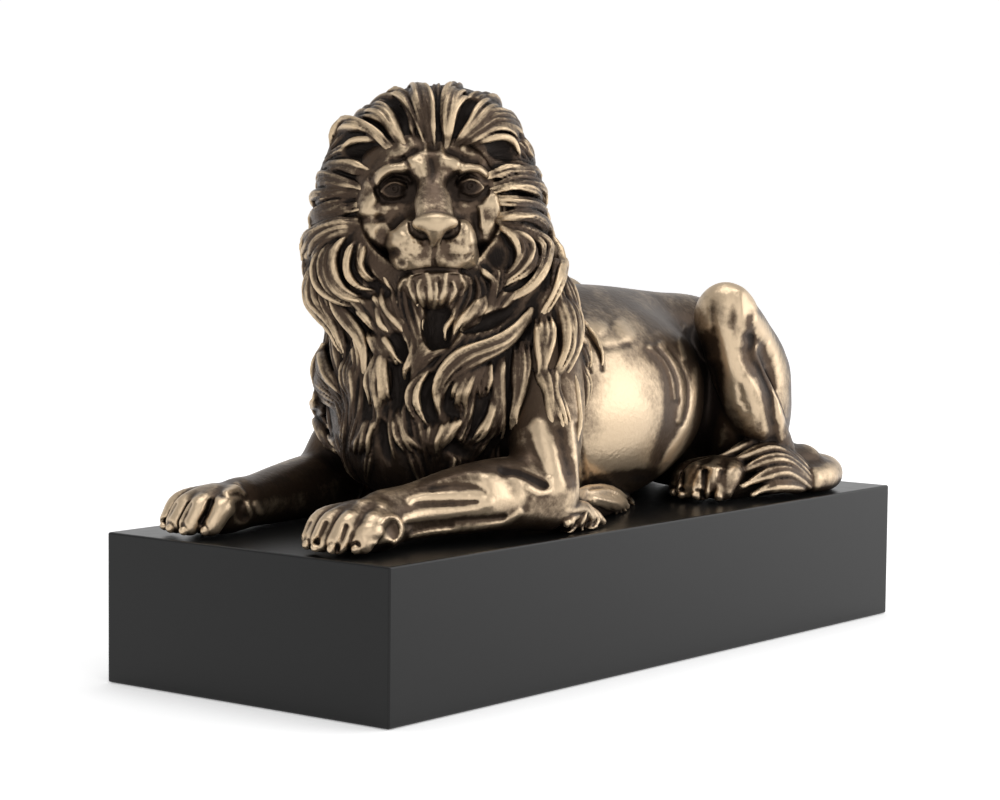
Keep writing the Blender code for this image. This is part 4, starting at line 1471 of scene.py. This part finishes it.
def makeEye(clay, side):
    put = {"head": True}
    a, b, c = eyes[side]
    ball(clay, (side * a, b, c), eyes["radius"], k=0.4, **put)
    lid = [(*onEye(side, u, v, 0.25), eyes["lid"]) for u, v in eyes["upper lid"]]
    limb(clay, lid, k=0.3, **put)
    crease = [(*onEye(side, u, v + 1.2, 0.2), eyes["crease"]) for u, v in eyes["upper lid"]]
    limb(clay, crease, k=0.4, cut=True, **put)
    lid = [(*onEye(side, u, v, 0.1), eyes["lower"]) for u, v in eyes["lower lid"]]
    limb(clay, lid, k=0.8, **put)
    ring = []
    for t in np.linspace(0, 2 * math.pi, 17):
        u, v = eyes["iris"] * math.cos(t), 0.2 + eyes["iris"] * math.sin(t)
        ring.append((*onEye(side, u, v, 0.1), 0.3))
    limb(clay, ring, k=0.1, cut=True, per=1, **put)
    ball(clay, onEye(side, 0.0, 0.3, 0.0), eyes["pupil"], k=0.2, cut=True, **put)


def makeMouth(clay):
    mouth = faceShapes["mouth"]
    across = np.linspace(mouth["from"], mouth["to"], 15)
    bow = [(u, mouth["height"] - mouth["droop"] * (abs(u) / 14) ** 1.5) for u in across]
    radii = mouth["ends"] + mouth["middle"] * np.cos(np.linspace(-1.35, 1.35, 15))
    limb(clay, np.hstack([onFace(clay, bow), radii[:, None]]), k=0.6, head=True, cut=True, per=2)


def makeWhiskerPits(clay):
    # uneven rows of small pits
    pits = faceShapes["whiskers"]
    rng = np.random.default_rng(pits["seed"])
    for side in (-1, 1):
        for row, v in enumerate(pits["rows"]):
            along = np.arange(pits["from"] + 0.5 * row, pits["to"], pits["step"])
            spots = np.array([(side * u, v - 0.07 * u) for u in along])
            spots = spots + rng.uniform(-0.5, 0.5, spots.shape)
            for spot in onFace(clay, spots):
                size = rng.uniform(0.25, 0.42)
                ball(clay, spot + [0, 0, 0.3], size, k=0.5, head=True, cut=True)


def makeFace(cell):
    across, up, out = faceShapes["room"]
    corners = np.array([(u, v, w) for u in across for v in up for w in out])
    ends = headAt + corners @ headAxes.T
    clay = newClay(ends.min(0), ends.max(0), cell)
    faceForms(clay)
    drawRelief(clay, [v for k, v in faceRelief.items() if "chin" not in k], faceward)
    for side in (-1, 1):
        makeEye(clay, side)
    faceBall(clay, "nose pad", tilt=(-14, 0, 0))
    faceLimb(clay, "septum")
    for side in (-1, 1):
        faceGroove(clay, "nostril", 0.4, side)
    faceGroove(clay, "split lip", 0.7)
    makeMouth(clay)
    drawRelief(clay, [v for k, v in faceRelief.items() if "chin" in k], faceward)
    makeWhiskerPits(clay)
    return clay


def standOn(clay):
    # everything ends flat at the soles
    z = clay["low"][2] + clay["cell"] * np.arange(clay["d"].shape[2])
    clay["d"] = np.maximum(clay["d"], (soles - z)[None, None, :].astype(np.float32))


def filled(clay):
    return np.clip(0.5 - clay["d"] / (2 * clay["cell"]), 0, 1)


def wholeFill(clays, cell=1.1):
    # how full space is, for all the pieces together, from which the bronze is painted darker in hollows:
    # partly patina, partly painted shade
    whole = newClay((-60, -142, -6), (60, 130, 144), cell)
    for clay in clays:
        top = clay["low"] + clay["cell"] * (np.array(clay["d"].shape) - 1)
        part, x, y, z = reachOf(whole, clay["low"] + cell, top - cell)
        shape = np.broadcast(x, y, z).shape
        points = np.stack([np.broadcast_to(v, shape) for v in (x, y, z)], -1)
        whole["d"][part] = np.minimum(whole["d"][part], valueAt(clay, points))
    z = whole["low"][2] + cell * np.arange(whole["d"].shape[2])
    fill = filled(whole)
    # counting the plinth's top as solid paints the bronze darker by it, as painted shade
    fill[:, :, z < soles] = 1.0  # the plinth's top counts as solid
    return whole, fill


def alongLocks(clay, points):
    # how far each point lies across and along the nearest lock, in millimetres
    if "lines" not in clay:
        return np.zeros((len(points), 3))
    lines = np.vstack(clay["lines"])
    tree = kdtree.KDTree(len(lines))
    for i, line in enumerate(lines):
        tree.insert(line[:3], i)
    tree.balance()
    near = lines[[tree.find(point)[1] for point in points]]
    off = points - near[:, :3]
    across = (off * near[:, 6:9]).sum(1)
    gone = near[:, 9] + (off * near[:, 3:6]).sum(1)
    return np.stack([across, gone, np.floor(near[:, 9] / 50.0)], 1)


def pieceFrom(name, clay, most, wide, mid):
    verts, quads = skinOf(clay)
    mesh = bpy.data.meshes.new(name)
    mesh.vertices.add(len(verts))
    mesh.vertices.foreach_set("co", ((verts + [0, 0, plinthTop]) * mm).astype(np.float32).ravel())
    mesh.loops.add(quads.size)
    mesh.loops.foreach_set("vertex_index", quads.ravel().astype(np.int32))
    mesh.polygons.add(len(quads))
    mesh.polygons.foreach_set("loop_start", np.arange(0, quads.size, 4, dtype=np.int32))
    mesh.update(calc_edges=True)
    obj = bpy.data.objects.new(name, mesh)
    bpy.context.scene.collection.objects.link(obj)
    if 2 * len(quads) > most:
        thin = obj.modifiers.new("thin out", "DECIMATE")
        thin.ratio = most / (2 * len(quads))
        graph = bpy.context.evaluated_depsgraph_get()
        made = bpy.data.meshes.new_from_object(obj.evaluated_get(graph))
        obj.modifiers.remove(thin)
        obj.data = made
        bpy.data.meshes.remove(mesh)
        mesh = made
        mesh.name = name
    co = np.empty(len(mesh.vertices) * 3, np.float32)
    mesh.vertices.foreach_get("co", co)
    at = co.reshape(-1, 3) / mm - [0, 0, plinthTop]
    fine = dict(clay, d=blurred(filled(clay), max(1, round(0.8 / clay["cell"]))))
    layers = {"near": valueAt(fine, at), "mid": valueAt(mid, at), "wide": valueAt(wide, at)}
    # where the bronze is painted lighter and darker: worn bright, painted highlights and painted shade
    layers["wear_and_light"] = wearAndLightAt(at)
    if name == "face":
        layers["wear_and_light"] += bronzeLook["drawnWearAndLight"] * drawnAt(faceRelief.values(), at)
    if name == "coat":
        layers["wear_and_light"] += drawnAt([coatWearAndPaintedLight], at) * towardCamera(clay)(at)
    for layer, values in layers.items():
        made = mesh.attributes.new(layer, "FLOAT", "POINT")
        made.data.foreach_set("value", values.astype(np.float32))
    made = mesh.attributes.new("strand", "FLOAT_VECTOR", "POINT")
    made.data.foreach_set("vector", alongLocks(clay, at).astype(np.float32).ravel())
    mesh.shade_smooth()
    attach(obj, "root")
    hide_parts("lion")
    print(name, len(mesh.polygons), "faces")
    return obj


# Bronze: nearly black brown in the hollows, patina that also stands in for the shade there, and worn pale
# gold on what stands out, with painted highlights and shade added on top.
bronzeLook = {
    # how much each scale of form counts, from where to where crests turn to gold and hollows
    # to black, the three colours, and how strong the blotches, dabs and streaks are
    "pieces": {
        "mane": {"near": 0.9, "mid": 0.15, "wide": 0.3, "crest": (0.08, 0.27), "sunk": (-0.04, 0.11),
                 "gold": (0.60, 0.455, 0.295), "brown": (0.060, 0.039, 0.026),
                 "blotch": 0.14, "dabs": 0.16, "dabScale": 600.0, "streaks": 0.13, "pit": (0.52, 0.80),
                 "hollow": (0.014, 0.010, 0.008)},
        "coat": {"near": 0.8, "mid": 0.3, "wide": 0.35, "crest": (0.0, 0.15), "sunk": (0.02, 0.17),
                 "gold": (0.60, 0.46, 0.31), "brown": (0.068, 0.044, 0.028),
                 "blotch": 0.20, "dabs": 0.13, "dabScale": 520.0, "streaks": 0.0, "pit": (0.55, 0.85),
                 "hollow": (0.018, 0.012, 0.009)},
        "face": {"near": 0.5, "mid": 0.45, "wide": 0.2, "crest": (-0.01, 0.17), "sunk": (0.04, 0.20),
                 "gold": (0.52, 0.40, 0.265), "brown": (0.085, 0.056, 0.037),
                 "blotch": 0.16, "dabs": 0.27, "dabScale": 720.0, "streaks": 0.0, "pit": (0.66, 0.9),
                 "hollow": (0.026, 0.017, 0.012)},
    },
    "hollowRough": 0.55,
    "brownRough": 0.38,
    "goldRough": 0.34,
    "metallic": 0.85,
    "blotchScale": 70.0,
    "grainScale": 700.0,
    "streakStretch": (2.2, 0.16, 3.7),  # across a lock, along it, and from lock to lock
    "streakGrain": 1.4,
    "bump": 0.4,
    "bumpDepth": 0.0004,
    # the face painted lighter on what its drawn relief raises and darker in what it sinks: wear and
    # patina, and painted highlight and shade
    "drawnWearAndLight": 0.08,  # for each millimetre of the face's drawn relief
    # places painted lighter or darker: the flank, shoulder, forearm and knee lighter, worn bright by hands
    # and with painted highlight, and darker under the chest, behind the haunch and low by the plinth,
    # patina and painted shade: (x, y, h), reach, how much
    "wear and painted light": [
        ((38, 0, 34), (15, 28, 21), 0.10),
        ((34, 8, 14), (14, 32, 12), 0.10),
        ((30, 88, 42), (14, 12, 22), -0.07),
        ((44, 70, 8), (11, 22, 11), -0.06),
        ((38, -40, 46), (8, 8, 14), 0.06),
        ((42, -70, 24), (10, 14, 6), 0.03),
        ((34, 62, 68), (10, 10, 8), 0.03),
        ((0, -55, 15), (30, 30, 18), -0.06),
    ],
    # the same on the head's axes, mostly painted shade in and round the eyes, under the mane's edge,
    # beside the nose and at the mouth, with painted highlight on the nose and muzzle: each that isn't in
    # the middle counts on both sides
    "wear and painted light on the head": [
        ((11.5, 0.2, 11.4), (3.7, 2.3, 2.6), -0.45),
        ((11.5, -2.6, 11.0), (4.8, 1.2, 3.0), -0.24),
        ((6.6, 2.6, 12.0), (2.2, 3.0, 3.0), -0.16),
        ((0.0, -26.4, 20.0), (9.0, 1.6, 5.0), -0.08),
        ((0.5, 13.0, 8.0), (14.0, 4.0, 7.0), -0.05),
        ((18.0, 7.0, 2.0), (5.0, 6.0, 6.0), -0.08),
        ((0.5, 0.0, 18.0), (5.0, 8.0, 8.0), -0.07),
        ((10.0, -8.0, 12.0), (3.5, 3.5, 5.0), -0.03),
        ((12.0, -27.0, 8.0), (5.0, 5.0, 10.0), -0.04),
        ((6.6, -16.0, 24.0), (6.0, 6.0, 6.0), 0.03),
        ((0.0, -9.0, 30.0), (5.0, 3.0, 5.0), 0.06),
        ((17.6, -6.0, 6.0), (5.0, 9.0, 6.0), 0.01),
    ],
}


def wearAndLightAt(points):
    total = np.zeros(len(points))
    for at, reach, much in bronzeLook["wear and painted light"]:
        far = (((points - np.array(at)) / np.array(reach)) ** 2).sum(1)
        total += much * np.exp(-far)
    onHead = (points - headAt) @ headAxes
    for at, reach, much in bronzeLook["wear and painted light on the head"]:
        for side in ((-1, 1) if at[0] > 1 else (1,)):
            far = (((onHead - [side * at[0], at[1], at[2]]) / np.array(reach)) ** 2).sum(1)
            total += much * np.exp(-far)
    return total


def node(tree, kind, **values):
    made = tree.nodes.new(kind)
    for key, value in values.items():
        setattr(made, key, value)
    return made


def plug(tree, socket, value):
    if isinstance(value, (int, float)):
        socket.default_value = value
    elif isinstance(value, tuple):
        socket.default_value = (*value, 1.0)
    else:
        tree.links.new(value, socket)


def ramp(tree, source, low, high):
    made = node(tree, "ShaderNodeMapRange", interpolation_type="SMOOTHSTEP")
    made.inputs["From Min"].default_value = low
    made.inputs["From Max"].default_value = high
    plug(tree, made.inputs["Value"], source)
    return made.outputs["Result"]


def maths(tree, what, a, b=0.0, c=0.0):
    made = node(tree, "ShaderNodeMath", operation=what)
    for socket, value in zip(made.inputs, (a, b, c)):
        plug(tree, socket, value)
    return made.outputs[0]


def mixed(tree, share, a, b):
    made = node(tree, "ShaderNodeMix", data_type="RGBA")
    for index, value in ((0, share), (6, a), (7, b)):
        plug(tree, made.inputs[index], value)
    return made.outputs[2]


def noise(tree, coords, scale, detail=3.0, rough=0.55):
    made = node(tree, "ShaderNodeTexNoise")
    made.inputs["Scale"].default_value = scale
    made.inputs["Detail"].default_value = detail
    made.inputs["Roughness"].default_value = rough
    plug(tree, made.inputs["Vector"], coords)
    return made.outputs["Fac"]


def attribute(tree, name):
    return node(tree, "ShaderNodeAttribute", attribute_name=name).outputs["Fac"]


def bronzeWithPaintedLight(name, piece):
    look = bronzeLook
    ways = look["pieces"][piece]
    material = bpy.data.materials.new(name)
    material.use_nodes = True
    tree = material.node_tree
    shader = tree.nodes["Principled BSDF"]
    coords = node(tree, "ShaderNodeTexCoord").outputs["Object"]
    blotch = maths(tree, "SUBTRACT", noise(tree, coords, look["blotchScale"], 4.0), 0.5)
    dabs = maths(tree, "SUBTRACT", noise(tree, coords, ways["dabScale"], 5.0, 0.7), 0.5)
    # the rise starts from the painted wear, highlights and shade
    rise = attribute(tree, "wear_and_light")
    for layer in ("near", "mid", "wide"):
        out = maths(tree, "SUBTRACT", 0.5, attribute(tree, layer))
        rise = maths(tree, "MULTIPLY_ADD", out, ways[layer], rise)
    rise = maths(tree, "MULTIPLY_ADD", blotch, ways["blotch"], rise)
    rise = maths(tree, "MULTIPLY_ADD", dabs, ways["dabs"], rise)
    grain = noise(tree, coords, look["grainScale"], 3.0)
    if ways["streaks"]:
        # fine lines that run with each lock
        strand = node(tree, "ShaderNodeAttribute", attribute_name="strand").outputs["Vector"]
        stretch = node(tree, "ShaderNodeVectorMath", operation="MULTIPLY")
        plug(tree, stretch.inputs[0], strand)
        stretch.inputs[1].default_value = look["streakStretch"]
        streaks = noise(tree, stretch.outputs[0], 1.0, 2.0)
        uneven = maths(tree, "SUBTRACT", streaks, 0.5)
        rise = maths(tree, "MULTIPLY_ADD", uneven, ways["streaks"], rise)
        grain = maths(tree, "MULTIPLY_ADD", streaks, look["streakGrain"], grain)
    # crest: gold where the form stands out and where wear and highlights are painted; sunk: dark where it
    # sinks and where shade is painted
    crest = ramp(tree, rise, *ways["crest"])
    sunk = ramp(tree, maths(tree, "MULTIPLY", rise, -1.0), *ways["sunk"])
    # pit: near black deep in the whole form and by the plinth, patina in the hollows and painted shade
    pit = ramp(tree, attribute(tree, "wide"), *ways["pit"])
    dark = maths(tree, "MAXIMUM", sunk, pit)
    colour = mixed(tree, crest, ways["brown"], ways["gold"])
    colour = mixed(tree, dark, colour, ways["hollow"])
    plug(tree, shader.inputs["Base Color"], colour)
    shader.inputs["Metallic"].default_value = look["metallic"]
    brownRough = look["brownRough"]
    rough = maths(tree, "MULTIPLY_ADD", crest, look["goldRough"] - brownRough, brownRough)
    rough = maths(tree, "MULTIPLY_ADD", dark, look["hollowRough"] - brownRough, rough)
    plug(tree, shader.inputs["Roughness"], rough)
    bump = node(tree, "ShaderNodeBump")
    bump.inputs["Strength"].default_value = look["bump"]
    bump.inputs["Distance"].default_value = look["bumpDepth"]
    plug(tree, bump.inputs["Height"], grain)
    plug(tree, shader.inputs["Normal"], bump.outputs["Normal"])
    return material


plinthLook = {
    "black": (0.0050, 0.0050, 0.0050),
    "gloss": 0.25,
    "rough": 0.26,
    "uneven": 0.08,
    "grain": 250.0,
}


def plinthFinish():
    look = plinthLook
    material = bpy.data.materials.new("black satin")
    material.use_nodes = True
    tree = material.node_tree
    shader = tree.nodes["Principled BSDF"]
    shader.inputs["Base Color"].default_value = (*look["black"], 1)
    shader.inputs["Specular IOR Level"].default_value = look["gloss"]
    coords = node(tree, "ShaderNodeTexCoord").outputs["Object"]
    grain = noise(tree, coords, look["grain"], 4.0)
    rough = maths(tree, "MULTIPLY_ADD", grain, look["uneven"], look["rough"])
    plug(tree, shader.inputs["Roughness"], rough)
    return material


studio = {
    "low": 1.02,  # the surround's brightness at the horizon, and overhead
    "high": 0.55,
    "rises": (0.10, 0.65),  # from where to where it changes
    "floorSide": 9.0,
    "floorDrop": 0.0002,
    # the floor glows though it is no lamp: less by the plinth, where it stays darker as painted shade, and
    # white far off
    "floorGlow": (0.26, 0.44),  # by the plinth and far off
    "glowReach": (0.25, 0.8),  # and how far off each is, in metres
    "floor": (0.92, 0.92, 0.92),
    "floorRough": 0.8,
    "lampAim": (0, 0, 0.1),
    # place in metres, size, watts
    "lamps": {
        "right": ((0.85, 0.75, 0.45), 1.1, 6.5),
        "front": ((0.9, -0.8, 0.9), 1.1, 3.2),
        "top": ((0.0, 0.1, 1.4), 0.9, 6.0),
    },
}


def makeSurround():
    bpy.context.scene.view_settings.view_transform = "Standard"
    world = bpy.data.worlds.new("studio")
    bpy.context.scene.world = world
    world.use_nodes = True
    tree = world.node_tree
    back = tree.nodes["Background"]
    way = node(tree, "ShaderNodeSeparateXYZ")
    plug(tree, way.inputs[0], node(tree, "ShaderNodeTexCoord").outputs["Generated"])
    height = ramp(tree, way.outputs["Z"], *studio["rises"])
    bright = maths(tree, "MULTIPLY_ADD", height, studio["high"] - studio["low"], studio["low"])
    plug(tree, back.inputs["Strength"], bright)
    back.inputs["Color"].default_value = (1, 1, 1, 1)


def makeFloor():
    mesh = bpy.data.meshes.new("floor")
    s = studio["floorSide"] / 2
    mesh.from_pydata([(-s, -s, 0), (s, -s, 0), (s, s, 0), (-s, s, 0)], [], [(0, 1, 2, 3)])
    floor = bpy.data.objects.new("floor", mesh)
    floor.location = (0, 0, -studio["floorDrop"])
    bpy.context.scene.collection.objects.link(floor)
    material = bpy.data.materials.new("floor")
    material.use_nodes = True
    tree = material.node_tree
    shader = tree.nodes["Principled BSDF"]
    shader.inputs["Base Color"].default_value = (*studio["floor"], 1)
    shader.inputs["Roughness"].default_value = studio["floorRough"]
    shader.inputs["Emission Color"].default_value = (1, 1, 1, 1)
    # the floor's glow: less by the plinth, leaving painted shade round it, more far off
    far = node(tree, "ShaderNodeVectorMath", operation="LENGTH")
    plug(tree, far.inputs[0], node(tree, "ShaderNodeTexCoord").outputs["Object"])
    near, off = studio["floorGlow"]
    farOff = ramp(tree, far.outputs["Value"], *studio["glowReach"])
    glow = maths(tree, "MULTIPLY_ADD", farOff, off - near, near)
    plug(tree, shader.inputs["Emission Strength"], glow)
    mesh.materials.append(material)


def makeLamps():
    for name, (place, size, watts) in studio["lamps"].items():
        light = bpy.data.lights.new(name, "AREA")
        light.energy, light.size = watts, size
        lamp = bpy.data.objects.new(name, light)
        lamp.location = place
        aim = Vector(place) - Vector(studio["lampAim"])
        lamp.rotation_euler = aim.to_track_quat("Z", "Y").to_euler()
        bpy.context.scene.collection.objects.link(lamp)


makeSurround()
makeFloor()
makeLamps()
print("studio made")

# how fine each grid is, and the most triangles of each piece
cells = {"mane": 0.5, "coat": 0.55, "face": 0.3}
most = {"mane_head": 190000, "mane_chest": 190000, "coat": 190000, "face": 150000}

clays = makeManes(cells["mane"])
print("mane modelled")
clays["coat"] = makeCoat(cells["coat"])
print("coat modelled")
clays["face"] = makeFace(cells["face"])
print("face modelled")
for name in ("mane_chest", "coat"):
    standOn(clays[name])
whole, fill = wholeFill(list(clays.values()))
# wide and mid blurs of the fill paint hollows and the bronze by the plinth darker: patina and painted
# shade
wide = dict(whole, d=blurred(fill, 3))
mid = dict(whole, d=blurred(fill, 1))
pieces = [pieceFrom(name, clay, most[name], wide, mid) for name, clay in clays.items()]
finishes = {
    "mane_head": bronzeWithPaintedLight("bronze mane", "mane"),
    "coat": bronzeWithPaintedLight("bronze coat", "coat"),
    "face": bronzeWithPaintedLight("bronze face", "face"),
}
finishes["mane_chest"] = finishes["mane_head"]
for piece in pieces:
    piece.data.materials.clear()
    piece.data.materials.append(finishes[piece.name])
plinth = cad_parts["plinth"]
plinth.data.materials.clear()
plinth.data.materials.append(plinthFinish())
print("finishes made")
